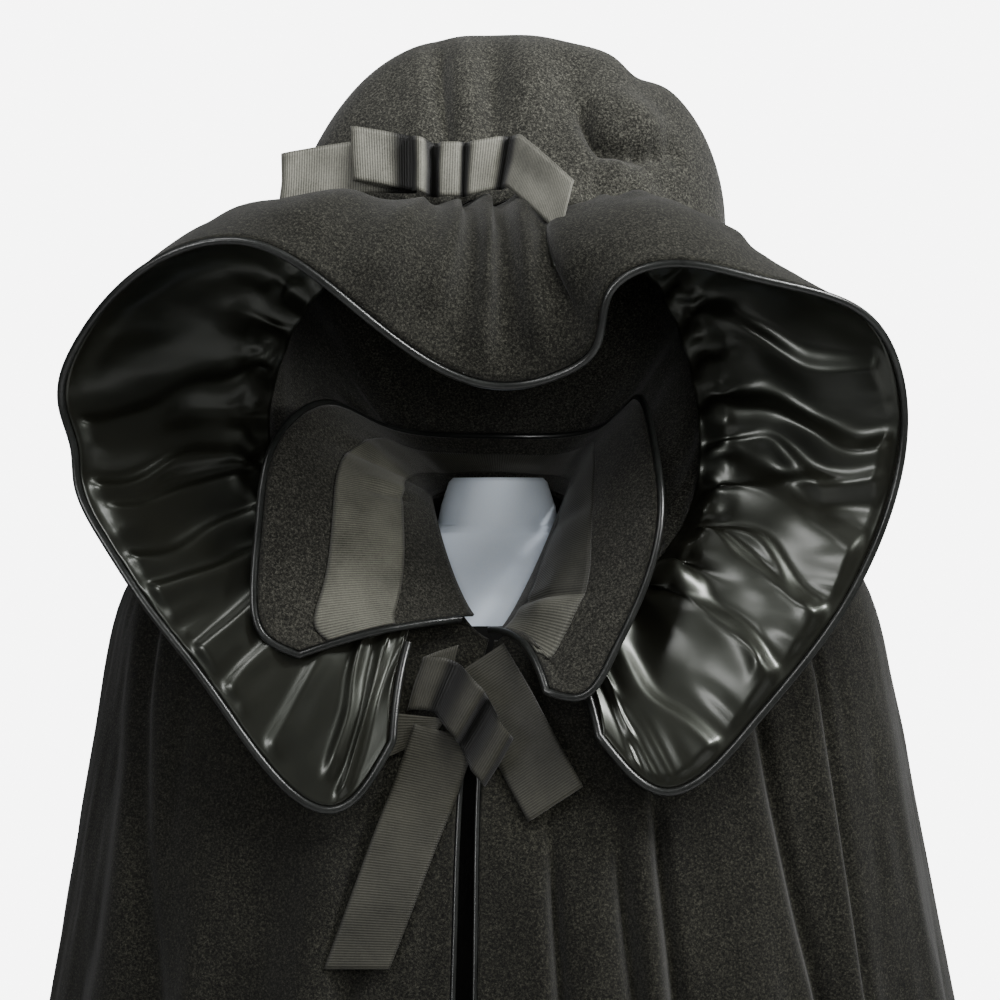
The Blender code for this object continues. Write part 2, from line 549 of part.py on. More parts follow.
def crown_grid(along, across):
    """Points of the crown from the face line back to the neck seam, its face outwards."""
    plain, _, _ = brim_lines(along)
    gathers = brim[0] - plain
    start = plain - brim_normals[0] * (WOOL + CROWN_LAP) + np.array([0.0, CROWN_BACK, 0.0])
    crest = spline(CROWN_PLACES, values(CROWN, "cx", "cy", "cz"), along)
    back = spline(CROWN_PLACES, values(CROWN, "bx", "by", "bz"), along)
    angle = np.radians(-CROWN_START - (360.0 - 2.0 * CROWN_START) * along)
    seam, _ = oval(values([NECK], *SECTION_SIZES)[0], angle, NECK_LAYERS)
    seam = seam - np.array([0.0, 0.0, NECK_DROP])
    rows = np.stack([start, crest, back, seam]).reshape(4, -1)
    grid = spline(CROWN_KNOTS, rows, across).reshape(len(across), -1, 3)
    shift = gathers * np.exp(-(across / CROWN_GATHER_REACH) ** 2)[:, None, None]
    stand = np.zeros(grid.shape[:2])
    for dent in DENTS:
        near_along = np.exp(-((along - dent.along) / dent.along_size) ** 2)
        near_across = np.exp(-((across - dent.across) / dent.across_size) ** 2)
        stand += dent.depth * near_across[:, None] * near_along
    return grid + shift - grid_normals(grid) * stand[:, :, None]


CROWN_ACROSS = np.array([0.0, 0.06, 0.13, 0.20, 0.27, 0.36, 0.48, 0.64, 0.82, 1.0])
crown = crown_grid(BRIM_ALONG, CROWN_ACROSS)
cloth("hood_crown", crown[:, ::-1], WOOL, WOOL_CLOTH)

# The collar
COLLAR_EDGE = values(COLLAR, "ex", "ey", "ez")
COLLAR_KNOTS = chord_knots(COLLAR_EDGE)


def collar_grid(along, across):
    """Points of the collar from the neck seam to the outer edge, its face the side with the ribbon."""
    angle = np.radians(spline(COLLAR_KNOTS, values(COLLAR, "angle"), along)[:, 0])
    seam, _ = oval(values([NECK], *SECTION_SIZES)[0], angle)
    seam = seam - np.array([0.0, 0.0, COLLAR_DROP])
    edge = spline(COLLAR_KNOTS, COLLAR_EDGE, along)
    roll = spline(COLLAR_KNOTS, values(COLLAR, "roll"), along)
    face = unit(np.cross(np.gradient(seam + edge, axis=0), edge - seam))
    middle = (seam + edge) / 2.0 + face * roll
    v = across[:, :, None]
    return (1 - v) ** 2 * seam + 2 * v * (1 - v) * middle + v * v * edge


def collar_shares(along):
    """Shares of the way across for each row, so that a run of rows lies along the ribbon band."""
    inner, outer = spline(COLLAR_KNOTS, values(COLLAR, "inner", "outer"), along).T
    below = np.stack([inner * share for share in BELOW_BAND])
    band = np.linspace(inner, outer, BAND_ROWS, endpoint=False)
    above = np.linspace(outer, np.ones_like(outer), OUTER_ROWS + 1)
    return np.concatenate([below, band, above])


COLLAR_ALONG = np.linspace(0.0, 1.0, COLLAR_COLUMNS)
collar = collar_grid(COLLAR_ALONG, collar_shares(COLLAR_ALONG))
collar_normals = grid_normals(collar)
cloth("collar", collar, WOOL, WOOL_CLOTH, collar_normals)
collar_path = edge_path(collar, collar_normals, COLLAR_PIPING, 0.0, WOOL)
tube("collar_piping", collar_path[1:-1], COLLAR_PIPING, PIPING_CORD)
ribbon_rows = slice(len(BELOW_BAND), len(BELOW_BAND) + BAND_ROWS + 1)
ribbon_face = collar + collar_normals * (SEAM_GAP + RIBBON)
cloth("collar_ribbon", ribbon_face[ribbon_rows], RIBBON, RIBBED_RIBBON, collar_normals[ribbon_rows])


# The bows
def ribbon(name, table, width):
    """A ribbon along a centre line, its width leaning from upright as the table says."""
    middle = values(table, "x", "y", "z")
    lean = np.radians(values(table, "lean"))
    side = np.hstack([np.sin(lean), 0.0 * lean, np.cos(lean)])
    grid = np.stack([middle + side * width * share for share in RIBBON_SHARES])
    return cloth(name, grid, RIBBON, RIBBED_RIBBON)


ribbon("hood_bow", HOOD_BOW, HOOD_RIBBON)
ribbon("neck_bow_loops", NECK_LOOPS, HOOD_RIBBON)
ribbon("neck_bow_tail_left", NECK_TAIL_LEFT, TAIL_LEFT_RIBBON)
ribbon("neck_bow_tail_short", NECK_TAIL_SHORT, NECK_RIBBON)
ribbon("neck_bow_tail_long", NECK_TAIL_LONG, NECK_RIBBON)


# The dress form and its stand
def form_ring(row, shrink=0.0):
    """A level section of the form."""
    angles = np.linspace(0.0, 2.0 * math.pi, FORM_SIDES, endpoint=False)
    size = (row.half_width - shrink, row.front - shrink, row.back - shrink, 0.0, 0.0, 0.0, 2.0, 2.0, 1.0)
    ring, _ = oval(size, angles)
    return ring + np.array([0.0, 0.0, row.z])


def skin(name, rings, finish):
    """A closed skin through rings of points, top first, with flat ends."""
    sides = len(rings[0])
    faces = [tuple(range(sides))]
    for level in range(len(rings) - 1):
        here = level * sides
        for side in range(sides):
            after = (side + 1) % sides
            faces.append((here + side, here + sides + side, here + sides + after, here + after))
    last = (len(rings) - 1) * sides
    faces.append(tuple(last + side for side in reversed(range(sides))))
    return add_mesh(name, np.concatenate(rings), faces, finish)


def dress_form():
    """The pale neck and shoulders of the form, and its dark body below the join."""
    join = [row.name for row in FORM].index(FORM_JOIN)
    top = FORM[0]
    bottom = FORM[-1]
    upper = [form_ring(top, FORM_EDGE / 2.0), form_ring(top._replace(z=top.z - FORM_EDGE / 2.0))]
    upper += [form_ring(row) for row in FORM[1:join + 1]]
    lower = [form_ring(FORM[join]._replace(z=FORM[join].z - SEAM_GAP))]
    lower += [form_ring(row) for row in FORM[join + 1:-1]]
    lower += [form_ring(bottom._replace(z=bottom.z + FORM_EDGE)), form_ring(bottom, FORM_EDGE)]
    skin("form_shoulders", raise_to_level(upper), FORM_COVER)
    skin("form_body", raise_to_level(lower), FORM_JERSEY)


def turned(name, profile, sides, finish):
    """A turned solid from its radius and height pairs, top first."""
    angles = np.linspace(0.0, 2.0 * math.pi, sides, endpoint=False)
    circle = np.stack([np.sin(angles), -np.cos(angles), 0.0 * angles], axis=1)
    rings = [circle * radius + np.array([0.0, 0.0, height]) for radius, height in profile]
    return skin(name, rings, finish)


dress_form()
pole_top = LEVEL + FORM[-1].z - SEAM_GAP
turned("stand_pole", [(POLE_RADIUS, pole_top), (POLE_RADIUS, BASE_HEIGHT + SEAM_GAP)], POLE_SIDES, STAND_METAL)
base_profile = [
    (BASE_CROWN, BASE_HEIGHT),
    (BASE_RADIUS - BASE_EDGE, BASE_RIM + BASE_EDGE),
    (BASE_RADIUS, BASE_RIM),
    (BASE_RADIUS, 0.0),
]
turned("stand_base", base_profile, BASE_SIDES, STAND_METAL)
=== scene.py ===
# %% [markdown]
# # A hooded wool cloak on a dress form
# The cloak is heavy black wool. Its hood has a puffed crown and a deep flared brim that is faced with
# satin, and inside the hood lies a wide collar with a band of ribbed ribbon. One ribbon bow trims the
# hood and another lies at the neck.
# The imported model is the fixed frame: every piece here is a finer cloth on the same named sizes, so it
# lies where its solid lies. All sizes are in metres, +Z is up and the front faces -Y.

# %% Load the frame
import math
from collections import namedtuple

import bpy
import numpy as np
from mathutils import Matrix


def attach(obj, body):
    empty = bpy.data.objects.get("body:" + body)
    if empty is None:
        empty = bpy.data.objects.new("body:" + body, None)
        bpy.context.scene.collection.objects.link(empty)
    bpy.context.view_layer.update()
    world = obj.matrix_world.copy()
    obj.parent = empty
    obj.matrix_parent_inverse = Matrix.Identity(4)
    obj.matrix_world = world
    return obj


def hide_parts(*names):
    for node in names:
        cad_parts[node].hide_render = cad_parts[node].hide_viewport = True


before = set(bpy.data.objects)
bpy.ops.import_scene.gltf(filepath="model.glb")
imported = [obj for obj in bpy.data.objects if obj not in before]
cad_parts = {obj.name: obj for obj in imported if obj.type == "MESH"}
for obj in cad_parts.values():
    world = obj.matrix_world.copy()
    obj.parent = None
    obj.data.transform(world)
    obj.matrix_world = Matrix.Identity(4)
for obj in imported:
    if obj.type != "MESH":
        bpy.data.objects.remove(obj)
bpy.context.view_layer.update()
bpy.ops.object.select_all(action="DESELECT")


def table(columns, rows, defaults=()):
    """Rows of plain values as records with named columns."""
    record = namedtuple("record", columns, defaults=defaults)
    return [record(*row) for row in rows]


# %% [markdown]
# ## The camera
# The picture was taken level with the neck, from straight ahead. One pixel is 0.70 mm wide at the middle
# of the cloak, and the camera stands 1.7 m away, so the lens follows from those two sizes. The tables
# further down are measured from the middle of the neck, which is at this level.

# %% Camera
LEVEL = 1.365
AT_NECK = np.array([0.0, 0.0, LEVEL])
PIXEL = 0.0007
PICTURE_WIDTH = 1000
CAMERA_DISTANCE = 1.70
CAMERA_SIDE = 0.0014
SENSOR = 36.0
camera_data = bpy.data.cameras.new("camera")
camera_data.sensor_width = SENSOR
camera_data.lens = SENSOR * CAMERA_DISTANCE / (PICTURE_WIDTH * PIXEL)
camera = bpy.data.objects.new("camera", camera_data)
camera.location = (CAMERA_SIDE, -CAMERA_DISTANCE, LEVEL)
camera.rotation_euler = (math.radians(90.0), 0.0, 0.0)
bpy.context.scene.collection.objects.link(camera)
bpy.context.scene.camera = camera
print("camera lens:", round(camera_data.lens, 2), "mm")

# %% [markdown]
# ## Light and floor
# The light in the picture is soft and comes from close above, so the crown is lit and the body below falls
# off into black. Three lamps, above and far out to the left and right, give only the gloss on the satin.
# One on the right, a weak one in front and one behind light only the colours, and show the folds. The
# world adds a faint fill, and the backdrop is white for the camera alone.

# %% Lamps, world and floor
LAMPS = table("name x y z size power lights", [
    ("key above", 0.40, -0.80, 2.60, 0.70, 27.0, "colour"),
    ("gloss above", -0.60, -0.95, 2.75, 0.50, 9.0, "gloss"),
    ("gloss low left", -1.50, -1.90, 1.85, 0.60, 22.0, "gloss"),
    ("gloss right", 1.65, -0.55, 2.70, 0.45, 62.0, "gloss"),
    ("side right", 2.00, -1.20, 1.85, 0.70, 38.0, "colour"),
    ("front", 0.10, -2.60, 1.50, 1.00, 18.0, "colour"),
    ("behind", 0.30, 2.60, 2.10, 1.40, 34.0, "colour"),
])
WHITE = (1.0, 1.0, 1.0, 1.0)
FILL = 0.08
BACKDROP = 7.0
FLOOR_RADIUS = 2.4
FLOOR_DROP = 0.0005


def add_lamp(lamp):
    """A square area lamp that points at the neck of the cloak."""
    data = bpy.data.lights.new(lamp.name, "AREA")
    data.size = lamp.size
    data.energy = lamp.power
    made = bpy.data.objects.new(lamp.name, data)
    made.location = (lamp.x, lamp.y, lamp.z)
    toward = AT_NECK - np.array([lamp.x, lamp.y, lamp.z])
    turn = math.atan2(toward[1], toward[0])
    tilt = math.acos(-toward[2] / np.linalg.norm(toward))
    made.rotation_euler = (tilt, 0.0, turn - math.radians(90.0))
    made.visible_diffuse = lamp.lights != "gloss"
    made.visible_glossy = lamp.lights != "colour"
    bpy.context.scene.collection.objects.link(made)


for lamp in LAMPS:
    add_lamp(lamp)

world = bpy.data.worlds.new("studio")
bpy.context.scene.world = world
world.use_nodes = True
nodes = world.node_tree.nodes
links = world.node_tree.links
fill = nodes["Background"]
fill.inputs["Color"].default_value = WHITE
fill.inputs["Strength"].default_value = FILL
backdrop = nodes.new("ShaderNodeBackground")
backdrop.inputs["Color"].default_value = WHITE
backdrop.inputs["Strength"].default_value = BACKDROP
seen = nodes.new("ShaderNodeLightPath")
choose = nodes.new("ShaderNodeMixShader")
links.new(seen.outputs["Is Camera Ray"], choose.inputs[0])
links.new(fill.outputs[0], choose.inputs[1])
links.new(backdrop.outputs[0], choose.inputs[2])
links.new(choose.outputs[0], nodes["World Output"].inputs["Surface"])

under = (0.0, 0.0, -FLOOR_DROP)
bpy.ops.mesh.primitive_circle_add(vertices=96, radius=FLOOR_RADIUS, fill_type="NGON", location=under)
floor = bpy.context.active_object
floor.name = "floor"
bpy.ops.object.transform_apply(location=True)
print("lamps:", len(LAMPS), "and a floor")

# %% [markdown]
# ## Writing finishes as sums
# A finish is a material whose nodes are written as Python sums. `Value` wraps one socket and adds a Math
# node for each operator, so `0.86 + clouds * 0.12` reads as on paper. `Finish.node` adds any other node.

# %% Finish helper
class Value:
    """One socket of a finish, usable in sums."""

    def __init__(self, finish, socket):
        self.finish = finish
        self.socket = socket

    def math(self, operation, first, second):
        return self.finish.node("ShaderNodeMath", {"operation": operation}, [first, second])

    def __add__(self, other):
        return self.math("ADD", self, other)

    def __radd__(self, other):
        return self.math("ADD", other, self)

    def __sub__(self, other):
        return self.math("SUBTRACT", self, other)

    def __mul__(self, other):
        return self.math("MULTIPLY", self, other)

    def __pow__(self, other):
        return self.math("POWER", self, other)


class Finish:
    """A material built from nodes."""

    def __init__(self, name):
        self.material = bpy.data.materials.new(name)
        self.material.use_nodes = True
        self.tree = self.material.node_tree
        self.shader = self.tree.nodes["Principled BSDF"]

    def node(self, kind, settings=None, inputs=None, output=0):
        """Any node: its settings come first, then the values or links of its sockets."""
        made = self.tree.nodes.new(kind)
        for key, value in (settings or {}).items():
            setattr(made, key, value)
        pairs = inputs.items() if isinstance(inputs, dict) else enumerate(inputs or [])
        for socket, value in pairs:
            self.put(made.inputs[socket], value)
        return Value(self, made.outputs[output])

    def put(self, socket, value):
        if isinstance(value, Value):
            self.tree.links.new(value.socket, socket)
        else:
            socket.default_value = value

    def set(self, **constants):
        """Numbers and colours that are the same all over the surface."""
        for name, value in constants.items():
            self.shader.inputs[name.replace("_", " ").title().replace("Ior", "IOR")].default_value = value

    def feed(self, name, value):
        self.put(self.shader.inputs[name], value)

    def place(self, scale=(1.0, 1.0, 1.0), own_map=False):
        """Object coordinates, or the piece's own map in metres, stretched by a scale."""
        output = "UV" if own_map else "Object"
        at = self.node("ShaderNodeTexCoord", output=output)
        return self.node("ShaderNodeMapping", None, {"Vector": at, "Scale": scale})

    def noise(self, at, scale, detail, roughness):
        sizes = {"Vector": at, "Scale": scale, "Detail": detail, "Roughness": roughness}
        return self.node("ShaderNodeTexNoise", None, sizes)

    def mix(self, share, first, second):
        """Two colours mixed by a share from 0 to 1."""
        made = self.tree.nodes.new("ShaderNodeMix")
        made.data_type = "RGBA"
        self.put(made.inputs[0], share)
        for socket, colour in ((6, first), (7, second)):
            self.put(made.inputs[socket], colour if isinstance(colour, Value) else (*colour, 1.0))
        return Value(self, made.outputs[2])

    def between(self, value, low, high):
        """A value stretched so that low gives 0 and high gives 1, and held there."""
        sizes = {0: value, 1: low, 2: high, 3: 0.0, 4: 1.0}
        return self.node("ShaderNodeMapRange", {"clamp": True}, sizes)

    def bump(self, height, strength, distance):
        sizes = {"Height": height, "Strength": strength, "Distance": distance}
        self.feed("Normal", self.node("ShaderNodeBump", None, sizes))


print("finish helper ready")

# %% [markdown]
# ## Wool
# The wool is a dull fulled cloth, once black and now faded to a warm grey black. The same wool is made in
# four copies of different tone: the crown's is paler as painted light from above, the body's darker as
# painted shade, and the brim's and the collar's lie between. Close up it is a short nap with lighter and
# darker fibres, and it is a little paler in clouds. Two fine noises give the fibres, a broad one the
# clouds, and a little sheen the soft edge of napped cloth.

# %% Wool finish
def wool_finish(name, dark, pale):
    wool = Finish(name)
    at = wool.place()
    fibres = wool.noise(at, 620.0, 4.0, 0.7)
    flecks = wool.noise(at, 1400.0, 2.0, 0.6)
    clouds = wool.noise(at, 11.0, 3.0, 0.5)
    share = wool.between(fibres * 0.9 + flecks * 0.5 + clouds * 0.14, 0.55, 0.98)
    wool.feed("Base Color", wool.mix(share ** 2.5, dark, pale))
    wool.feed("Roughness", 0.86 + clouds * 0.12)
    wool.set(sheen_weight=0.12, sheen_roughness=0.5, specular_ior_level=0.2)
    wool.bump(fibres * 0.7 + flecks * 0.5, 0.5, 0.0009)
    return wool.material


# Painted light and shade: the crown's copy is paler where the lamp above falls, the body's darker below; the
# brim's and the collar's lie between.
CROWN_WOOL_PAINTED_LIGHT = wool_finish("crown wool", (0.006, 0.006, 0.005), (0.144, 0.142, 0.118))
BRIM_WOOL = wool_finish("brim wool", (0.003, 0.003, 0.002), (0.070, 0.069, 0.055))
BODY_WOOL_PAINTED_SHADE = wool_finish("body wool", (0.002, 0.002, 0.0015), (0.054, 0.053, 0.040))
COLLAR_WOOL = wool_finish("collar wool", (0.005, 0.005, 0.004), (0.088, 0.086, 0.070))
print("wool:", CROWN_WOOL_PAINTED_LIGHT.name, BRIM_WOOL.name, BODY_WOOL_PAINTED_SHADE.name, COLLAR_WOOL.name)

# %% [markdown]
# ## Satin
# The facing is black satin with a soft gloss and a sharper one over it. The folds make the bright streaks,
# so the finish itself is plain: nearly black, smooth, faintly green where it shines, with a fine thread.

# %% Satin finish
def satin_finish(name):
    satin = Finish(name)
    thread = satin.noise(satin.place((2600.0, 160.0, 1.0), True), 1.0, 2.0, 0.5)
    clouds = satin.noise(satin.place(), 14.0, 3.0, 0.5)
    shade = satin.between(clouds * 0.7 + thread * 0.3, 0.3, 0.75)
    satin.feed("Base Color", satin.mix(shade, (0.0035, 0.0033, 0.0025), (0.0095, 0.0090, 0.0066)))
    satin.feed("Roughness", 0.38 + thread * 0.06 + clouds * 0.06)
    satin.set(specular_ior_level=0.45, specular_tint=(0.93, 1.0, 0.88, 1.0))
    satin.set(coat_weight=0.65, coat_roughness=0.28, coat_tint=(0.96, 1.0, 0.92, 1.0))
    satin.bump(thread, 0.05, 0.0006)
    return satin.material


SATIN = satin_finish("satin")
print("satin:", SATIN.name)

# %% [markdown]
# ## Ribbed ribbon
# The bows and the band on the collar are a ribbon with fine ribs across its length and two firm edges.
# The ribs follow the piece's own map, whose first direction runs along the ribbon in metres. Where the
# ribbon lies deep in a fold or inside the hood it is darkened to near black as painted shade, as much as
# the attribute hollow says, from 0 to 1.

# %% Ribbon finish
RIB = 0.0017


def ribbon_finish(name, dark, pale, width):
    ribbon = Finish(name)
    wave = {"wave_type": "BANDS", "bands_direction": "X", "wave_profile": "SIN"}
    turns = 2.0 * math.pi / (20.0 * RIB)
    along = ribbon.place((1.0, 1.0, 1.0), True)
    ribs = ribbon.node("ShaderNodeTexWave", wave, {"Vector": along, "Scale": turns})
    across = ribbon.node("ShaderNodeSeparateXYZ", None, [ribbon.place((1.0, 1.0 / width, 1.0), True)], 1)
    wear = ribbon.noise(ribbon.place(), 26.0, 4.0, 0.6)
    flecks = ribbon.noise(ribbon.place(), 900.0, 3.0, 0.7)
    middle = ribbon.node("ShaderNodeMath", {"operation": "ABSOLUTE"}, [across - 0.5])
    edge = ribbon.between(middle, 0.455, 0.485)
    share = ribbon.between(wear * 0.55 + flecks * 0.40 + ribs * 0.24, 0.34, 0.90)
    body = ribbon.mix(share, dark, pale)
    # Painted shade: the attribute hollow mixes the ribbon towards near black in its folds and inside the
    # hood.
    hollow = ribbon.node("ShaderNodeAttribute", {"attribute_name": "hollow"}, None, 2)
    faded = ribbon.mix(edge * 0.55, body, dark)
    ribbon.feed("Base Color", ribbon.mix(hollow, faded, (0.002, 0.002, 0.0015)))
    ribbon.feed("Roughness", 0.52 + wear * 0.18)
    ribbon.set(sheen_weight=0.15, sheen_roughness=0.4, specular_ior_level=0.4)
    ribbon.bump(ribs * 0.8 + edge * 0.6 + flecks * 0.2, 0.4, 0.0007)
    return ribbon.material


print("ribs every", RIB * 1000, "mm")

# %% [markdown]
# ## Piping, form and stand
# The piping is a cord covered in smooth bias cloth, so it shines a little and shows a faint slant. The
# form has a pale matt cover on its neck and shoulders and a black jersey below. The stand is painted.

# %% Small finishes
def piping_finish(name):
    piping = Finish(name)
    slant = piping.noise(piping.place((420.0, 420.0, 900.0)), 1.0, 3.0, 0.6)
    wear = piping.noise(piping.place(), 34.0, 4.0, 0.6)
    shade = piping.between(slant * 0.5 + wear * 0.6, 0.35, 0.8)
    piping.feed("Base Color", piping.mix(shade, (0.005, 0.0055, 0.005), (0.024, 0.026, 0.024)))
    piping.feed("Roughness", 0.24 + wear * 0.16)
    piping.set(specular_ior_level=0.6)
    piping.bump(slant, 0.3, 0.0005)
    return piping.material


def woven_finish(name, dark, pale, count):
    cover = Finish(name)
    threads = cover.noise(cover.place((count, count, count * 0.4)), 1.0, 3.0, 0.6)
    clouds = cover.noise(cover.place(), 18.0, 3.0, 0.5)
    shade = cover.between(threads * 0.5 + clouds * 0.5, 0.3, 0.75)
    cover.feed("Base Color", cover.mix(shade, dark, pale))
    cover.feed("Roughness", 0.82 + threads * 0.14)
    cover.set(sheen_weight=0.1, specular_ior_level=0.3)
    cover.bump(threads, 0.25, 0.0005)
    return cover.material


def paint_finish(name):
    paint = Finish(name)
    grain = paint.noise(paint.place(), 240.0, 4.0, 0.6)
    wear = paint.noise(paint.place(), 16.0, 5.0, 0.65)
    shade = paint.between(wear, 0.35, 0.8)
    paint.feed("Base Color", paint.mix(shade, (0.030, 0.030, 0.031), (0.052, 0.051, 0.050)))
    paint.feed("Roughness", 0.34 + wear * 0.22)
    paint.set(metallic=0.0, coat_weight=0.2)
    paint.bump(grain, 0.12, 0.0006)
    return paint.material


PIPING = piping_finish("piping")
FORM_COVER = woven_finish("form cover", (0.76, 0.86, 1.00), (0.86, 0.94, 1.00), 1300.0)
FORM_JERSEY = woven_finish("form jersey", (0.006, 0.006, 0.006), (0.016, 0.016, 0.015), 1500.0)
STAND_PAINT = paint_finish("stand paint")
print("small finishes:", PIPING.name, FORM_COVER.name, FORM_JERSEY.name, STAND_PAINT.name)

# %% [markdown]
# ## Curves, grids and cloth
# A garment is easiest to shape through its sections. Each table below has a row for each section, a
# smooth curve runs through the rows, and a grid of points is read from it. A grid becomes a mesh, and
# Solidify gives the mesh its cloth thickness behind its face. The map on it is in metres of cloth.

# %% Curve and grid helpers
def values(table, *names):
    """Columns of a table as an array with a row for each of its rows."""
    return np.array([[getattr(row, name) for name in names] for row in table], dtype=float)


def spline(knots, points, at):
    """A natural cubic curve through the points, read at the places given."""
    count = len(knots)
    steps = np.diff(knots)
    system = np.eye(count)
    right = np.zeros(points.shape)
    for i in range(1, count - 1):
        system[i, i - 1] = steps[i - 1]
        system[i, i] = 2.0 * (steps[i - 1] + steps[i])
        system[i, i + 1] = steps[i]
        after = (points[i + 1] - points[i]) / steps[i]
        before = (points[i] - points[i - 1]) / steps[i - 1]
        right[i] = 6.0 * (after - before)
    bend = np.linalg.solve(system, right)
    at = np.asarray(at, dtype=float)
    span = np.clip(np.searchsorted(knots, at) - 1, 0, count - 2)
    step = steps[span][:, None]
    low = ((knots[span + 1] - at) / steps[span])[:, None]
    high = 1.0 - low
    straight = low * points[span] + high * points[span + 1]
    curved = (low ** 3 - low) * bend[span] + (high ** 3 - high) * bend[span + 1]
    return straight + curved * step ** 2 / 6.0


def chord_knots(points):
    """Places from 0 to 1 along a row of points, by their distance."""
    lengths = np.linalg.norm(np.diff(points, axis=0), axis=1)
    total = np.concatenate([[0.0], np.cumsum(lengths)])
    return total / total[-1]


def unit(vectors):
    return vectors / np.maximum(np.linalg.norm(vectors, axis=-1, keepdims=True), 1e-12)


def grid_normals(grid):
    """Unit normals of a grid of points: across its columns, then its rows."""
    return unit(np.cross(np.gradient(grid, axis=1), np.gradient(grid, axis=0)))


def bell(distance):
    """A soft hump: 1 in the middle, falling to 0 on both sides."""
    return np.exp(-distance ** 2)


def hump(row, u, v):
    """A soft hump over a cloth, at the place and of the sizes that a row of a table gives."""
    return bell((u - row.along) / row.along_size) * bell((v - row.across) / row.across_size)


def ease(value):
    """A smooth step from 0 to 1."""
    held = np.clip(value, 0.0, 1.0)
    return held * held * (3.0 - 2.0 * held)


def ripple(along, across, along_count, across_count, seed):
    """Smooth uneven waves from -1 to 1 over a cloth, with about that many humps each way."""
    hills = np.random.default_rng(seed).uniform(-1.0, 1.0, (across_count + 2, along_count + 2))
    x = np.clip(along, 0.0, 1.0) * along_count
    y = np.clip(across, 0.0, 1.0) * across_count
    column = np.minimum(x.astype(int), along_count - 1)
    row = np.minimum(y.astype(int), across_count - 1)
    right = ease(x - column)
    down = ease(y - row)
    upper = hills[row, column] * (1 - right) + hills[row, column + 1] * right
    lower = hills[row + 1, column] * (1 - right) + hills[row + 1, column + 1] * right
    return upper * (1 - down) + lower * down


print("helpers ready")

# %% Cloth helper
def mean_run(grid, axis):
    """Places in metres along one direction of a grid, taken as its mean length."""
    lengths = np.linalg.norm(np.diff(grid, axis=axis), axis=-1).mean(axis=1 - axis)
    return np.concatenate([[0.0], np.cumsum(lengths)])


def bring_in(name, data):
    """A new object in the scene, active and the only one selected."""
    piece = bpy.data.objects.new(name, data)
    bpy.context.scene.collection.objects.link(piece)
    bpy.ops.object.select_all(action="DESELECT")
    bpy.context.view_layer.objects.active = piece
    piece.select_set(True)
    return piece


def lay_cloth(name, grid, thickness, finish, node, hollow=None):
    """A sheet of cloth through a grid of points, in place of a node of the frame."""
    rows, columns = grid.shape[:2]
    points = grid + AT_NECK
    index = np.arange(rows * columns).reshape(rows, columns)
    corners = [index[:-1, :-1], index[:-1, 1:], index[1:, 1:], index[1:, :-1]]
    faces = np.stack(corners, axis=-1).reshape(-1, 4)
    mesh = bpy.data.meshes.new(name)
    mesh.from_pydata(points.reshape(-1, 3).tolist(), [], faces.tolist())
    run, drop = np.meshgrid(mean_run(grid, 1), mean_run(grid, 0))
    places = np.stack([run, drop], axis=-1).reshape(-1, 2)
    own_map = mesh.uv_layers.new(name="cloth")
    own_map.data.foreach_set("uv", places[faces.reshape(-1)].astype(np.float32).reshape(-1))
    # The hollow values are the ribbon's painted shade, from 0 to 1.
    if hollow is not None:
        kept = mesh.attributes.new("hollow", "FLOAT", "POINT")
        kept.data.foreach_set("value", hollow.astype(np.float32).reshape(-1))
    mesh.materials.append(finish)
    piece = bring_in(name, mesh)
    wall = piece.modifiers.new("wall", "SOLIDIFY")
    wall.thickness = thickness
    wall.offset = -1.0
    bpy.ops.object.modifier_apply(modifier=wall.name)
    bpy.ops.object.shade_smooth()
    dress(piece, node)
    return piece


def dress(piece, node):
    """Puts a finished piece in place of a node, on the one body of the frame."""
    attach(piece, "root")
    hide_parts(node)
    print(piece.name, "faces:", len(piece.data.polygons))


def cloth_area(grid):
    """The area of one side of a cloth, in square metres."""
    first = np.cross(grid[:-1, 1:] - grid[:-1, :-1], grid[1:, :-1] - grid[:-1, :-1])
    second = np.cross(grid[1:, :-1] - grid[1:, 1:], grid[:-1, 1:] - grid[1:, 1:])
    return float((np.linalg.norm(first, axis=-1) + np.linalg.norm(second, axis=-1)).sum() / 2.0)


def lay_cord(name, path, radius, finish, node):
    """A round covered cord along a path, in place of a node of the frame."""
    curve = bpy.data.curves.new(name, "CURVE")
    curve.dimensions = "3D"
    curve.bevel_depth = radius
    curve.bevel_resolution = 3
    curve.use_fill_caps = True
    line = curve.splines.new("POLY")
    line.points.add(len(path) - 1)
    for point, place in zip(line.points, path + AT_NECK):
        point.co = (*place, 1.0)
    bring_in(name, curve)
    bpy.ops.object.convert(target="MESH")
    piece = bpy.context.active_object
    piece.data.materials.append(finish)
    bpy.ops.object.shade_smooth()
    dress(piece, node)
    return piece


print("cloth helper ready")

# %% [markdown]
# ## The cloak body
# The body is a left front, a right front and a back, flared from a small neck seam to a wide hem. The
# table gives its level sections. drop and rise say how sharply a section turns to its front and its back,
# and cut how far the right of its front is cut in. The hanging folds are ridges that open towards the hem,
# each with its own angle, width and height. Sharper creases start under the brim, where the wool breaks
# over the shoulders: top and bottom are their angles at two heights, and each has a small roll beside it.

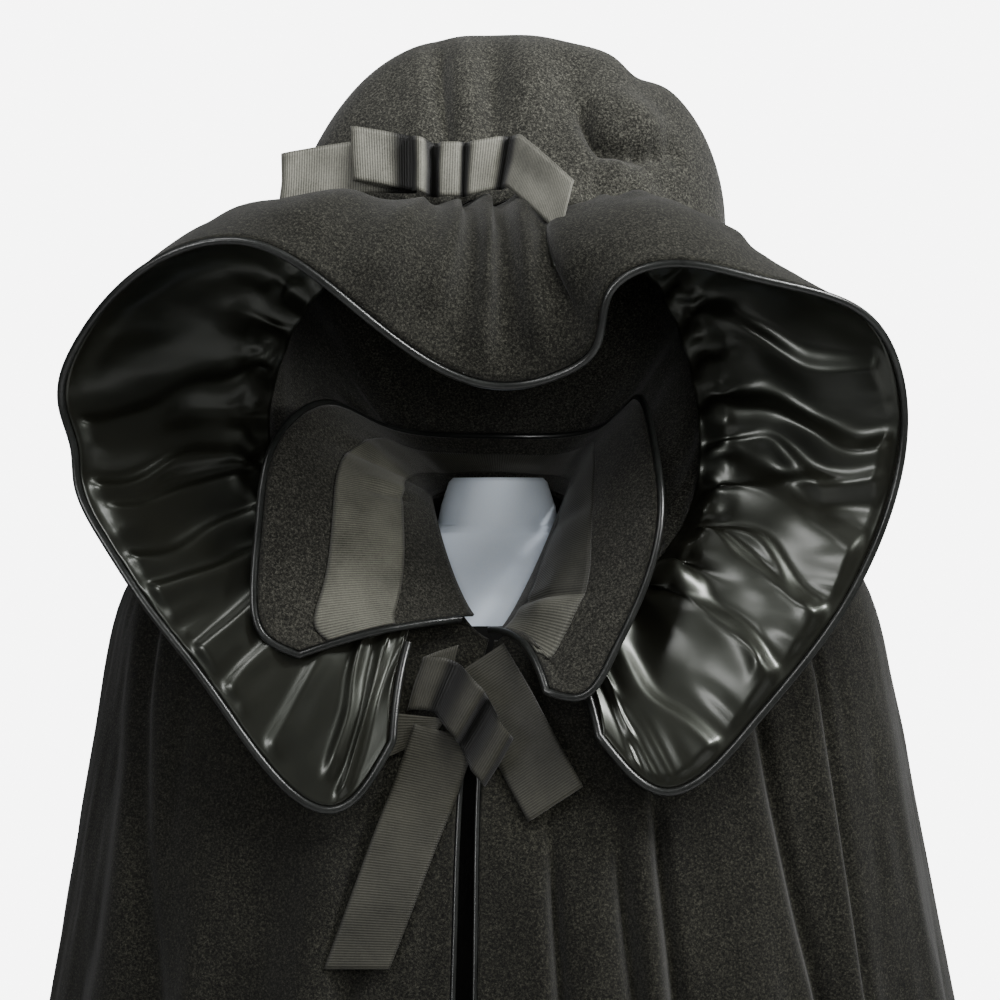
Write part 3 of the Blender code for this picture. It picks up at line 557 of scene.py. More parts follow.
# %% Body tables
WOOL_WALL = 0.0020
SEAM_GAP = 0.0003
SECTION = "name half_width front back side_z front_z back_z drop rise cut fold"
BODY = table(SECTION, [
    ("neck", 0.0548, 0.088, 0.0735, -0.002, -0.0930, 0.0105, 2.0, 1.3, 1.6, 0.00),
    ("yoke", 0.125, 0.104, 0.095, -0.016, -0.120, -0.010, 2.7, 2.7, 1.2, 0.00),
    ("shoulder", 0.195, 0.120, 0.115, -0.0270, -0.153, -0.034, 3.2, 3.2, 1.0, 0.01),
    ("point", 0.242, 0.132, 0.129, -0.040, -0.190, -0.068, 3.2, 3.2, 1.0, 0.04),
    ("arm", 0.260, 0.141, 0.139, -0.068, -0.225, -0.107, 3.0, 3.0, 1.0, 0.10),
    ("chest", 0.270, 0.149, 0.148, -0.110, -0.262, -0.153, 2.6, 2.6, 1.0, 0.18),
    ("ribs", 0.284, 0.160, 0.161, -0.190, -0.318, -0.226, 2.2, 2.2, 1.0, 0.27),
    ("waist", 0.311, 0.178, 0.184, -0.355, -0.420, -0.375, 2.0, 2.0, 1.0, 0.42),
    ("hip", 0.350, 0.214, 0.226, -0.610, -0.640, -0.620, 2.0, 2.0, 1.0, 0.62),
    ("knee", 0.398, 0.262, 0.280, -0.925, -0.938, -0.930, 2.0, 2.0, 1.0, 0.82),
    ("hem", 0.444, 0.312, 0.334, -1.225, -1.225, -1.225, 2.0, 2.0, 1.0, 1.00),
])
LEFT_EDGE = -6.2
RIGHT_EDGE = -2.6
SIDE_SEAM = 100.0
FOLDS = table("name chest hem width height", [
    ("left inner", -26.0, -24.0, 6.5, 0.034),
    ("left middle", -42.0, -38.0, 5.5, 0.022),
    ("left outer", -58.0, -56.0, 6.0, 0.026),
    ("left side", -80.0, -76.0, 7.0, 0.010),
    ("right edge", 2.5, 2.5, 4.0, 0.012),
    ("right inner", 12.5, 13.0, 2.8, 0.026),
    ("right narrow", 19.6, 20.2, 2.0, 0.020),
    ("right broad", 31.0, 32.5, 7.0, 0.030),
    ("right outer", 52.0, 47.5, 3.4, 0.022),
    ("right side", 72.0, 66.0, 8.0, 0.030),
    ("back 1", 97.0, 97.0, 7.0, 0.036),
    ("back 2", 117.0, 116.0, 6.0, 0.030),
    ("back 3", 136.0, 134.0, 7.0, 0.026),
    ("back 4", 156.0, 154.0, 5.5, 0.032),
    ("back 5", 174.0, 172.0, 6.5, 0.028),
    ("back 6", 193.0, 192.0, 5.5, 0.030),
    ("back 7", 213.0, 211.0, 7.0, 0.030),
    ("back 8", 232.0, 231.0, 6.0, 0.026),
    ("back 9", 252.0, 252.0, 7.0, 0.030),
    ("back 10", 266.0, 268.0, 5.0, 0.012),
])
BODY_CREASES = table("name top bottom start width depth", [
    ("left side", -64.0, -49.0, 0.10, 2.4, 0.0060),
    ("left inner", -16.5, -21.0, 0.14, 1.6, 0.0070),
    ("right first", 7.5, 8.5, 0.13, 0.9, 0.0080),
    ("right second", 16.7, 18.2, 0.15, 1.0, 0.0075),
    ("right third", 22.7, 23.3, 0.13, 1.1, 0.0090),
    ("right fourth", 40.5, 44.5, 0.11, 1.3, 0.0085),
    ("right fifth", 54.0, 53.0, 0.10, 1.5, 0.0075),
    ("back first", 122.0, 120.0, 0.14, 1.6, 0.0070),
    ("back second", 146.0, 148.0, 0.20, 1.3, 0.0060),
    ("back third", 181.0, 180.0, 0.12, 1.5, 0.0080),
    ("back fourth", 222.0, 224.0, 0.18, 1.4, 0.0065),
    ("back fifth", 243.0, 241.0, 0.14, 1.6, 0.0070),
])
CREASE_TOP = 0.15
CREASE_BOTTOM = 0.31
CREASE_RUN = 1.5
CREASE_START = 0.07
CREASE_LOSS = 0.6
LOSS_START = 0.4
LOSS_LENGTH = 0.5
ROLL_SHARE = 0.5
ROLL_AWAY = 2.4
ROLL_WIDTH = 1.8
SECTION_SIZES = ("half_width", "front", "back", "side_z", "front_z", "back_z", "drop", "rise", "cut")
BODY_KNOTS = chord_knots(values(BODY, "half_width", "side_z"))
print("body sections:", len(BODY), "folds:", len(FOLDS))

# %% [markdown]
# Each panel is cut from one round of the body between two angles. A faint uneven swell, a few millimetres
# deep, keeps the plain stretches from looking pressed. It fades at the seams so that the panels meet.

# %% Body panels
BODY_ROWS = 120
ROW_SPREAD = 1.15
SWELL = 0.0022
FINE_SHARE = 0.5
SEAM_FADE = 0.06
NECK_FADE = 0.2


def oval(section, angle, grow=0.0):
    """A point of a level section, at an angle from the front, and its outward direction."""
    half_width, front_depth, back_depth, side_z, front_z, back_z, drop, rise, cut = section
    across = np.sin(angle)
    ahead = np.cos(angle)
    front = np.maximum(ahead, 0.0) ** drop
    back = np.maximum(-ahead, 0.0) ** rise
    depth = np.where(ahead > 0.0, front_depth, back_depth)
    out = unit(np.stack([across * depth, -ahead * half_width, 0.0 * across], axis=-1))
    height = side_z + (front_z - side_z) * front + (back_z - side_z) * back
    cut_in = np.where((across > 0.0) & (ahead > 0.0), np.abs(across) ** cut, across)
    point = np.stack([half_width * cut_in, -depth * ahead, height], axis=-1)
    return point + grow * out, out


def fold_height(angle, down):
    """How far the folds stand out at an angle from the front and a share of the way down."""
    angle = np.degrees(angle)
    total = np.zeros_like(angle)
    for fold in FOLDS:
        middle = fold.chest + (fold.hem - fold.chest) * down
        for turn in (-360.0, 0.0, 360.0):
            total += fold.height * bell((angle - middle - turn) / fold.width)
    return total


def crease_depth(angle, down):
    """How far the creases draw the cloth in, with the small roll beside each."""
    angle = np.degrees(angle)
    total = np.zeros_like(angle)
    run = min((down - CREASE_TOP) / (CREASE_BOTTOM - CREASE_TOP), CREASE_RUN)
    kept = 1.0 - CREASE_LOSS * ease((down - LOSS_START) / LOSS_LENGTH)
    for crease in BODY_CREASES:
        away = (angle - crease.top - (crease.bottom - crease.top) * run) / crease.width
        depth = crease.depth * ease((down - crease.start) / CREASE_START) * kept
        total += depth * (bell(away) - ROLL_SHARE * bell((away + ROLL_AWAY) / ROLL_WIDTH))
    return total


def body_panel(start, end, columns, seed):
    """Points of the cloak body between two angles, its face outwards."""
    down = np.linspace(0.0, 1.0, BODY_ROWS) ** ROW_SPREAD
    angles = np.radians(np.linspace(start, end, columns))
    sizes = spline(BODY_KNOTS, values(BODY, *SECTION_SIZES), down)
    shares = np.maximum(spline(BODY_KNOTS, values(BODY, "fold"), down)[:, 0], 0.0)
    place = np.linspace(0.0, 1.0, columns)
    inside = ease(np.minimum(place, 1.0 - place) / SEAM_FADE)
    u, v = np.meshgrid(place, down)
    swell = SWELL * ripple(u, v, 16, 9, seed)
    swell += SWELL * FINE_SHARE * ripple(u, v, 34, 26, seed + 1)
    grid = []
    for row, (level, size, share) in enumerate(zip(down, sizes, shares)):
        points, out = oval(size, angles)
        stand = fold_height(angles, level) * share + swell[row] * inside * ease(level / NECK_FADE)
        stand -= crease_depth(angles, level) * inside
        grid.append(points + out * stand[:, None])
    return np.array(grid)[:, ::-1]


SEAM_TURN = math.degrees(SEAM_GAP / BODY[0].half_width)
left_front = body_panel(-SIDE_SEAM + SEAM_TURN, LEFT_EDGE, 190, 11)
right_front = body_panel(RIGHT_EDGE, SIDE_SEAM - SEAM_TURN, 270, 23)
back_panel = body_panel(SIDE_SEAM, 360.0 - SIDE_SEAM, 260, 37)
cloak_left = lay_cloth("cloak_left", left_front, WOOL_WALL, BODY_WOOL_PAINTED_SHADE, "cloak_front_left")
cloak_right = lay_cloth("cloak_right", right_front, WOOL_WALL, BODY_WOOL_PAINTED_SHADE, "cloak_front_right")
cloak_behind = lay_cloth("cloak_behind", back_panel, WOOL_WALL, BODY_WOOL_PAINTED_SHADE, "cloak_back")
print("panel areas:", [round(cloth_area(panel), 3) for panel in (left_front, right_front, back_panel)])

# %% [markdown]
# The front edges are bound with a thin piping. It lies beside the wall's own edge, so its path is the
# edge moved outwards by its radius.

# %% Front piping
FRONT_PIPING = 0.0017
FRONT_PIPING_START = 0.11


def front_piping(name, grid, column, inward, node):
    """Piping down a front edge, beside the wall's own edge."""
    first = int(FRONT_PIPING_START * len(grid))
    away = unit(grid[:, column] - grid[:, column + inward])
    middle = grid[:, column] - grid_normals(grid)[:, column] * WOOL_WALL / 2.0
    path = middle + away * (FRONT_PIPING + SEAM_GAP)
    return lay_cord(name, path[first:], FRONT_PIPING, PIPING, node)


edge_left = front_piping("edge_piping_left", left_front, 0, 1, "front_piping_left")
edge_right = front_piping("edge_piping_right", right_front, -1, -1, "front_piping_right")

# %% [markdown]
# ## The brim
# The brim is one deep flared strip. Its inner line is gathered to the face line of the hood, and its outer
# edge runs from one rounded end on the chest up over the face and down to the other. Each row of the table
# is a section: g on the gathered line, e on the edge, and lift for how far it bows to its wool side.

# %% Brim table
BRIM = table("place gx gy gz ex ey ez lift", [
    ("left end", -0.056, -0.096, -0.076, -0.070, -0.147, -0.154, -0.010),
    ("left tip", -0.064, -0.095, -0.070, -0.100, -0.154, -0.193, -0.010),
    ("left chest", -0.092, -0.092, -0.048, -0.182, -0.145, -0.119, -0.006),
    ("left shoulder", -0.126, -0.085, -0.021, -0.226, -0.135, -0.064, 0.004),
    ("left elbow", -0.140, -0.080, -0.004, -0.251, -0.126, -0.028, 0.010),
    ("left low side", -0.150, -0.074, 0.020, -0.271, -0.118, 0.010, 0.016),
    ("left notch", -0.153, -0.070, 0.043, -0.2735, -0.120, 0.036, 0.018),
    ("left side", -0.153, -0.067, 0.060, -0.2800, -0.124, 0.060, 0.022),
    ("left high side", -0.146, -0.062, 0.093, -0.268, -0.146, 0.098, 0.034),
    ("left lobe", -0.122, -0.060, 0.138, -0.203, -0.188, 0.154, 0.066),
    ("left lobe top", -0.100, -0.062, 0.160, -0.156, -0.198, 0.161, 0.064),
    ("left fall", -0.056, -0.067, 0.186, -0.088, -0.193, 0.122, 0.070),
    ("dip", -0.006, -0.070, 0.197, -0.004, -0.172, 0.075, 0.074),
    ("right of dip", 0.030, -0.070, 0.196, 0.042, -0.176, 0.083, 0.072),
    ("right turn", 0.050, -0.069, 0.192, 0.060, -0.185, 0.098, 0.066),
    ("right rise", 0.067, -0.067, 0.184, 0.067, -0.195, 0.128, 0.064),
    ("right lobe top", 0.086, -0.064, 0.170, 0.094, -0.200, 0.146, 0.072),
    ("right lobe", 0.112, -0.061, 0.136, 0.160, -0.190, 0.139, 0.065),
    ("right high side", 0.130, -0.063, 0.086, 0.236, -0.154, 0.114, 0.040),
    ("right side", 0.135, -0.069, 0.048, 0.260, -0.126, 0.067, 0.020),
    ("right low side", 0.130, -0.078, 0.000, 0.254, -0.116, 0.000, 0.016),
    ("right shoulder", 0.104, -0.087, -0.042, 0.217, -0.124, -0.076, 0.006),
    ("right chest", 0.074, -0.092, -0.064, 0.160, -0.142, -0.144, -0.004),
    ("right tip", 0.050, -0.095, -0.080, 0.104, -0.153, -0.183, -0.010),
    ("right end", 0.041, -0.096, -0.085, 0.067, -0.148, -0.150, -0.010),
])
GATHERS = 26
GATHER_START = 0.10
GATHER_DEPTH = 0.0022
GATHER_REACH = 0.30
BRIM_GATHER = values(BRIM, "gx", "gy", "gz")
BRIM_EDGE = values(BRIM, "ex", "ey", "ez")
BRIM_KNOTS = chord_knots(np.hstack([BRIM_GATHER, BRIM_EDGE]))
BRIM_PLACES = {row.place: knot for row, knot in zip(BRIM, BRIM_KNOTS)}
print("brim sections:", len(BRIM))

# %% [markdown]
# The strip is gathered, so a wave runs along its inner line and dies out towards the edge. The wool side
# shows above the face, where soft ridges fall from the gathers to the dip of the edge. They are listed one
# by one, each with its own place, width and height, with plainer ones round to the back.

# %% Brim wool
BRIM_ALONG = np.linspace(0.0, 1.0, 420)
BRIM_ACROSS = np.linspace(0.0, 1.0, 48)
BRIM_FOLDS = table("along lean width height reach", [
    (0.412, -0.012, 0.0110, 0.0045, 0.80),
    (0.446, -0.008, 0.0085, 0.0062, 0.84),
    (0.472, -0.004, 0.0080, 0.0070, 0.76),
    (0.499, 0.000, 0.0072, 0.0080, 0.86),
    (0.528, 0.004, 0.0085, 0.0085, 0.84),
    (0.549, 0.004, 0.0045, 0.0050, 0.50),
    (0.559, 0.003, 0.0030, 0.0040, 0.34),
    (0.573, 0.003, 0.0085, 0.0070, 0.78),
    (0.590, 0.002, 0.0035, 0.0044, 0.30),
    (0.602, 0.004, 0.0060, 0.0046, 0.40),
    (0.640, 0.010, 0.0110, 0.0036, 0.60),
    (0.690, 0.012, 0.0120, 0.0038, 0.70),
    (0.740, 0.006, 0.0110, 0.0042, 0.65),
    (0.790, 0.000, 0.0130, 0.0036, 0.75),
    (0.845, -0.004, 0.0110, 0.0044, 0.60),
    (0.900, -0.004, 0.0130, 0.0036, 0.70),
    (0.372, -0.014, 0.0110, 0.0036, 0.60),
    (0.330, -0.012, 0.0110, 0.0032, 0.70),
    (0.290, -0.008, 0.0130, 0.0040, 0.65),
    (0.245, -0.002, 0.0120, 0.0036, 0.75),
    (0.190, 0.004, 0.0130, 0.0044, 0.60),
    (0.130, 0.006, 0.0120, 0.0036, 0.70),
])
RIDGE_START = 0.10
RIDGE_END = 0.16
CRUMPLE = 0.0006


def gather_wave(along):
    """The gathers as a wave along the face line, fading out at its two ends."""
    inside = np.clip(np.minimum(along, 1.0 - along) / GATHER_START, 0.0, 1.0)
    phase = GATHERS * (along - GATHER_START) / (1.0 - 2.0 * GATHER_START)
    return np.sin(2.0 * math.pi * phase) * inside


def brim_lines(along):
    """The gathered line, the bow's control points and the outer edge."""
    gather = spline(BRIM_KNOTS, BRIM_GATHER, along)
    edge = spline(BRIM_KNOTS, BRIM_EDGE, along)
    lift = spline(BRIM_KNOTS, values(BRIM, "lift"), along)
    run = np.gradient(gather + edge, axis=0)
    face = unit(np.cross(run, edge - gather))
    middle = (gather + edge) / 2.0 - face * lift
    return gather, middle, edge


def brim_grid(along, across):
    """Points of the brim, its face the satin side, with the gathers at the face line."""
    gather, middle, edge = brim_lines(along)
    grid = np.array([(1 - v) ** 2 * gather + 2 * v * (1 - v) * middle + v * v * edge for v in across])
    depth = GATHER_DEPTH * bell(across / GATHER_REACH)
    return grid + grid_normals(grid) * (depth[:, None] * gather_wave(along))[:, :, None]


def wool_ridges(along, across):
    """How far the ridges of the brim's wool side stand out."""
    u, v = np.meshgrid(along, across)
    total = np.zeros_like(u)
    for fold in BRIM_FOLDS:
        near = bell((u - fold.along - fold.lean * v) / (fold.width * (0.75 + 0.5 * v)))
        total += fold.height * near * ease(v / RIDGE_START) * (1.0 - ease((v - fold.reach) / RIDGE_END))
    return total + CRUMPLE * (1.0 + ripple(u, v, 120, 9, 5)) * np.sin(math.pi * v)


brim = brim_grid(BRIM_ALONG, BRIM_ACROSS)
brim_normals = grid_normals(brim)
wool_side = brim - brim_normals * (WOOL_WALL + wool_ridges(BRIM_ALONG, BRIM_ACROSS))[:, :, None]
brim_wool = lay_cloth("brim_wool", wool_side[:, ::-1], WOOL_WALL, BRIM_WOOL, "brim_outer")
print("brim area:", round(cloth_area(wool_side), 3))

# %% [markdown]
# ## The satin facing
# The facing lies on the inner side of the brim. It was cut longer than the brim and shirred along the
# face line, so broad folds sweep from the shirring to the piped edge. Each is placed as a soft ridge
# along its own path, given as pairs of a share across and a place along the brim. A fold is steep on its
# upper side, where it rolls out of a crease, and slopes off on its lower side. The cloth is only ever
# lifted, so it never goes below the brim.

# %% Satin folds
SATIN_WALL = 0.0009
SATIN_FOLDS = table("name height upper lower path", [
    ("left end", 0.0055, 0.004, 0.007, [(0.12, 0.040), (0.26, 0.036), (0.50, 0.029), (0.96, 0.030)]),
    ("left end inner", 0.0055, 0.004, 0.006,
     [(0.15, 0.064), (0.32, 0.059), (0.54, 0.049), (0.82, 0.044)]),
    ("left tip", 0.0034, 0.005, 0.008, [(0.35, 0.080), (0.65, 0.075), (0.95, 0.072)]),
    ("left chest low", 0.0044, 0.005, 0.009, [(0.45, 0.100), (0.70, 0.097), (0.95, 0.096)]),
    ("left chest", 0.0064, 0.005, 0.012, [(0.30, 0.124), (0.57, 0.118), (0.81, 0.115), (0.97, 0.115)]),
    ("left shoulder", 0.0078, 0.006, 0.013, [(0.10, 0.152), (0.38, 0.146), (0.64, 0.147), (0.98, 0.151)]),
    ("left elbow", 0.0048, 0.006, 0.010,
     [(0.05, 0.182), (0.16, 0.179), (0.50, 0.172), (0.73, 0.166), (0.97, 0.169)]),
    ("left low side", 0.0065, 0.006, 0.018,
     [(0.09, 0.204), (0.34, 0.203), (0.55, 0.199), (0.71, 0.194), (0.92, 0.194)]),
    ("left notch", 0.0080, 0.006, 0.012,
     [(0.09, 0.222), (0.31, 0.221), (0.56, 0.217), (0.70, 0.209), (0.95, 0.207)]),
    ("left faint", 0.0028, 0.010, 0.012, [(0.10, 0.244), (0.50, 0.233), (0.90, 0.222)]),
    ("left side", 0.0072, 0.006, 0.016,
     [(0.03, 0.290), (0.14, 0.270), (0.35, 0.262), (0.58, 0.251), (0.95, 0.239)]),
    ("left lobe", 0.0036, 0.016, 0.022, [(0.20, 0.318), (0.50, 0.304), (0.88, 0.288)]),
    ("over face 1", 0.0040, 0.012, 0.018, [(0.10, 0.360), (0.85, 0.345)]),
    ("over face 2", 0.0045, 0.010, 0.016, [(0.10, 0.405), (0.80, 0.395)]),
    ("over face 3", 0.0040, 0.010, 0.014, [(0.10, 0.448), (0.90, 0.440)]),
    ("over face 4", 0.0045, 0.010, 0.014, [(0.10, 0.492), (0.80, 0.495)]),
    ("over face 5", 0.0040, 0.010, 0.016, [(0.10, 0.540), (0.90, 0.548)]),
    ("over face 6", 0.0045, 0.010, 0.016, [(0.10, 0.588), (0.80, 0.598)]),
    ("right lobe", 0.0036, 0.014, 0.022, [(0.10, 0.636), (0.45, 0.652), (0.90, 0.664)]),
    ("right high side", 0.0064, 0.009, 0.024,
     [(0.10, 0.684), (0.25, 0.695), (0.45, 0.723), (0.69, 0.738), (0.96, 0.741)]),
    ("right side", 0.0095, 0.009, 0.020,
     [(0.04, 0.743), (0.14, 0.751), (0.32, 0.756), (0.49, 0.764), (0.67, 0.777), (0.96, 0.783)]),
    ("right side short", 0.0048, 0.007, 0.011,
     [(0.06, 0.766), (0.17, 0.772), (0.36, 0.774), (0.50, 0.787), (0.68, 0.801)]),
    ("right low side", 0.0066, 0.008, 0.015,
     [(0.04, 0.778), (0.24, 0.790), (0.54, 0.798), (0.96, 0.798)]),
    ("right broad", 0.0095, 0.014, 0.024, [(0.04, 0.800), (0.40, 0.808), (0.65, 0.822), (0.97, 0.836)]),
    ("right shoulder upper", 0.0050, 0.006, 0.008,
     [(0.15, 0.829), (0.41, 0.834), (0.59, 0.846), (0.73, 0.858), (0.90, 0.866)]),
    ("right shoulder", 0.0100, 0.008, 0.028,
     [(0.04, 0.828), (0.34, 0.847), (0.60, 0.859), (0.81, 0.869), (0.97, 0.871)]),
    ("right chest upper", 0.0046, 0.006, 0.008,
     [(0.12, 0.866), (0.25, 0.875), (0.47, 0.889), (0.70, 0.895), (0.88, 0.905)]),
    ("right chest", 0.0100, 0.008, 0.028, [(0.02, 0.864), (0.38, 0.894), (0.67, 0.901), (0.97, 0.907)]),
    ("right tip", 0.0075, 0.008, 0.017,
     [(0.08, 0.940), (0.39, 0.951), (0.54, 0.952), (0.68, 0.947), (0.97, 0.941)]),
    ("right end", 0.0040, 0.006, 0.008, [(0.10, 0.978), (0.50, 0.980), (0.75, 0.978)]),
])

# %% [markdown]
# Next to the piping the cloth puckers where the seam draws it in. These puckers are short and narrow.

# %% Satin puckers
PUCKERS = table("along start width height", [
    (0.088, 0.66, 0.0050, 0.0018),
    (0.106, 0.60, 0.0060, 0.0022),
    (0.125, 0.70, 0.0045, 0.0016),
    (0.136, 0.62, 0.0055, 0.0022),
    (0.160, 0.70, 0.0050, 0.0018),
    (0.184, 0.66, 0.0055, 0.0020),
    (0.230, 0.70, 0.0055, 0.0016),
    (0.760, 0.72, 0.0055, 0.0018),
    (0.816, 0.70, 0.0055, 0.0018),
    (0.851, 0.72, 0.0050, 0.0016),
    (0.885, 0.66, 0.0060, 0.0020),
    (0.926, 0.56, 0.0060, 0.0024),
    (0.954, 0.62, 0.0050, 0.0020),
    (0.963, 0.56, 0.0045, 0.0026),
    (0.972, 0.62, 0.0050, 0.0022),
    (0.982, 0.66, 0.0045, 0.0018),
])
SHIRRING = 0.0036
SHIRRING_PLACE = 0.10
SHIRRING_WIDTH = 0.09
SHIRRING_LEAST = 0.3
WANDER = 0.0016
PUFF = 0.0022
FINE_PUFF = 0.0005
PUCKER_RISE = 0.30


def fold_crest(path, across):
    """Where a fold's crest lies along the brim, for each row of the cloth."""
    rows, places = np.array(path).T
    return spline(rows, places[:, None], np.clip(across, rows[0], rows[-1]))


def satin_lift(along, across, grid):
    """How far the satin stands off the brim."""
    u, v = np.meshgrid(along, across)
    metres = np.linalg.norm(np.gradient(grid, axis=1), axis=-1) / (along[1] - along[0])
    wander = WANDER * ripple(u, v, 44, 5, 71)
    folds = np.zeros_like(u)
    for fold in SATIN_FOLDS:
        crest = fold_crest(fold.path, across)
        below = (u + wander - crest) * metres * np.sign(crest.mean() - 0.5)
        width = np.where(below > 0.0, fold.lower, fold.upper)
        first, last = fold.path[0][0], fold.path[-1][0]
        shown = ease((v - first + 0.06) / 0.18) * ease((last + 0.10 - v) / 0.14)
        folds += fold.height * bell(below / width) * shown
    for pucker in PUCKERS:
        near = bell((u + wander - pucker.along) * metres / pucker.width)
        folds += pucker.height * near * ease((v - pucker.start) / PUCKER_RISE)
    puff = PUFF * (1.0 + ripple(u, v, 34, 3, 73)) * np.sin(math.pi * v) + FINE_PUFF * ripple(u, v, 120, 5, 74)
    held = ease(v / 0.05) * ease((1.0 - v) / 0.065)
    uneven = SHIRRING_LEAST + ripple(u + wander, v, 120, 14, 75)
    shirring = SHIRRING * bell((v - SHIRRING_PLACE) / SHIRRING_WIDTH) * uneven * ease(v / 0.03)
    return np.maximum((folds + puff) * held + np.maximum(shirring, 0.0), 0.0)


FACING_ALONG = np.linspace(0.0, 1.0, 620)
FACING_ACROSS = np.linspace(0.0, 1.0, 70)
under_facing = brim_grid(FACING_ALONG, FACING_ACROSS)
facing_stand = SEAM_GAP + SATIN_WALL + satin_lift(FACING_ALONG, FACING_ACROSS, under_facing)
facing_grid = under_facing + grid_normals(under_facing) * facing_stand[:, :, None]
facing = lay_cloth("satin_facing", facing_grid, SATIN_WALL, SATIN, "brim_facing")
print("facing area:", round(cloth_area(facing_grid), 3))

# %% [markdown]
# A cord piping closes the brim's edge. Its path follows the edge and both ends, moved out by its radius
# and pushed a little further round a corner, so that it lies against the cloth all the way.

# %% Brim piping
BRIM_PIPING = 0.0026
MITRE_LIMIT = 0.6


def edge_path(grid, normals, radius, front, behind):
    """The path of a piping round a grid's left side, last row and right side, clear of its wall."""
    inner = [grid[:-1, 1], grid[-2], grid[:-1, -2][::-1]]
    place = np.concatenate([grid[:-1, 0], grid[-1], grid[:-1, -1][::-1]])
    face = np.concatenate([normals[:-1, 0], normals[-1], normals[:-1, -1][::-1]])
    inward = np.concatenate(inner) - place
    segments = unit(np.diff(place, axis=0))
    before = np.concatenate([segments[:1], segments])
    after = np.concatenate([segments, segments[-1:]])
    out = unit(np.cross(before + after, face))
    out *= -np.sign(np.sum(out * inward, axis=1, keepdims=True))
    mitre = np.sqrt((1.0 + np.sum(before * after, axis=1, keepdims=True)) / 2.0)
    reach = (radius + SEAM_GAP) / np.maximum(mitre, MITRE_LIMIT)
    return place + out * reach + face * (front - behind) / 2.0


ends_left_bare = len(BRIM_ACROSS) // 4
brim_path = edge_path(brim, brim_normals, BRIM_PIPING, SEAM_GAP + SATIN_WALL, WOOL_WALL)
brim_cord = lay_cord(
    "brim_cord", brim_path[ends_left_bare:-ends_left_bare], BRIM_PIPING, PIPING, "brim_piping"
)

# %% [markdown]
# ## The hood crown
# The crown is one full piece, gathered to the face line in front and to the neck seam behind, so it puffs
# up high. The table gives its crest and its back for places along the brim. On the right a lobe of the
# crown has sunk behind a curved crease, with short gathers below it, and soft hollows lie elsewhere.

# %% Crown table
CROWN = table("place cx cy cz bx by bz", [
    ("left end", -0.053, -0.088, -0.066, -0.048, -0.082, -0.058),
    ("left chest", -0.084, -0.078, -0.034, -0.071, -0.061, -0.028),
    ("left shoulder", -0.116, -0.062, -0.002, -0.092, -0.035, 0.002),
    ("left low side", -0.146, -0.025, 0.050, -0.108, 0.020, 0.048),
    ("left side", -0.153, 0.000, 0.094, -0.120, 0.060, 0.078),
    ("left high side", -0.152, 0.012, 0.134, -0.122, 0.090, 0.102),
    ("left lobe", -0.146, 0.022, 0.205, -0.112, 0.125, 0.140),
    ("left lobe top", -0.128, 0.026, 0.250, -0.092, 0.138, 0.165),
    ("left fall", -0.080, 0.030, 0.310, -0.052, 0.152, 0.195),
    ("dip", -0.008, 0.032, 0.330, -0.006, 0.158, 0.205),
    ("right turn", 0.066, 0.032, 0.321, 0.040, 0.155, 0.198),
    ("right lobe top", 0.128, 0.030, 0.281, 0.085, 0.142, 0.172),
    ("right lobe", 0.156, 0.026, 0.220, 0.112, 0.125, 0.138),
    ("right high side", 0.152, 0.014, 0.140, 0.120, 0.085, 0.100),
    ("right side", 0.144, -0.004, 0.088, 0.110, 0.050, 0.070),
    ("right low side", 0.130, -0.030, 0.034, 0.096, 0.015, 0.040),
    ("right shoulder", 0.099, -0.062, -0.008, 0.077, -0.035, 0.006),
    ("right chest", 0.070, -0.078, -0.040, 0.059, -0.062, -0.028),
    ("right end", 0.042, -0.088, -0.072, 0.040, -0.082, -0.062),
])
NECK = table(SECTION, [("seam", 0.046, 0.091, 0.064, 0.005, -0.085, 0.015, 2.0, 2.0, 1.6, 0.0)])
CROWN_KNOTS = np.array([0.0, 0.32, 0.64, 1.0])
CROWN_PLACES = np.array([BRIM_PLACES[row.place] for row in CROWN])
CROWN_START = 38.0
CROWN_LAP = 0.0007
CROWN_BACK = 0.0008
NECK_LAYERS = 0.0042
NECK_DROP = 0.0052
CROWN_GATHER_REACH = 0.12
CROWN_PUCKERS = 0.0016
RIGHT_GATHERS = 0.0060
NECK_GATHERS = 0.0030
SOFT_SWELL = 0.0022
DENTS = table("name along across along_size across_size depth", [
    ("curved crease top", 0.558, 0.128, 0.006, 0.020, 0.0070),
    ("curved crease left", 0.562, 0.108, 0.006, 0.016, 0.0110),
    ("curved crease low left", 0.568, 0.095, 0.006, 0.013, 0.0130),
    ("curved crease low", 0.576, 0.090, 0.006, 0.012, 0.0140),
    ("curved crease middle", 0.585, 0.095, 0.006, 0.012, 0.0130),
    ("curved crease right", 0.594, 0.108, 0.006, 0.013, 0.0120),
    ("curved crease far right", 0.602, 0.126, 0.006, 0.014, 0.0090),
    ("curved crease end", 0.610, 0.148, 0.007, 0.018, 0.0060),
    ("lobe above the crease", 0.587, 0.152, 0.018, 0.034, -0.0090),
    ("roll below the crease", 0.606, 0.060, 0.020, 0.022, -0.0060),
    ("outline notch", 0.583, 0.320, 0.010, 0.090, 0.0080),
    ("hollow left of the lobe", 0.550, 0.170, 0.011, 0.080, 0.0075),
    ("middle hollow", 0.508, 0.150, 0.010, 0.085, 0.0075),
    ("middle swell", 0.528, 0.160, 0.010, 0.080, -0.0045),
    ("left swell", 0.491, 0.160, 0.009, 0.090, -0.0045),
    ("left hollow", 0.475, 0.160, 0.008, 0.090, 0.0075),
    ("far left hollow", 0.440, 0.190, 0.020, 0.060, 0.0036),
    ("back fold left", 0.420, 0.700, 0.030, 0.160, 0.0100),
    ("back fold right", 0.570, 0.740, 0.030, 0.150, 0.0100),
    ("left side fold", 0.300, 0.450, 0.016, 0.200, 0.0060),
    ("right side fold", 0.720, 0.450, 0.016, 0.200, 0.0060),
])
print("crown sections:", len(CROWN), "dents:", len(DENTS))

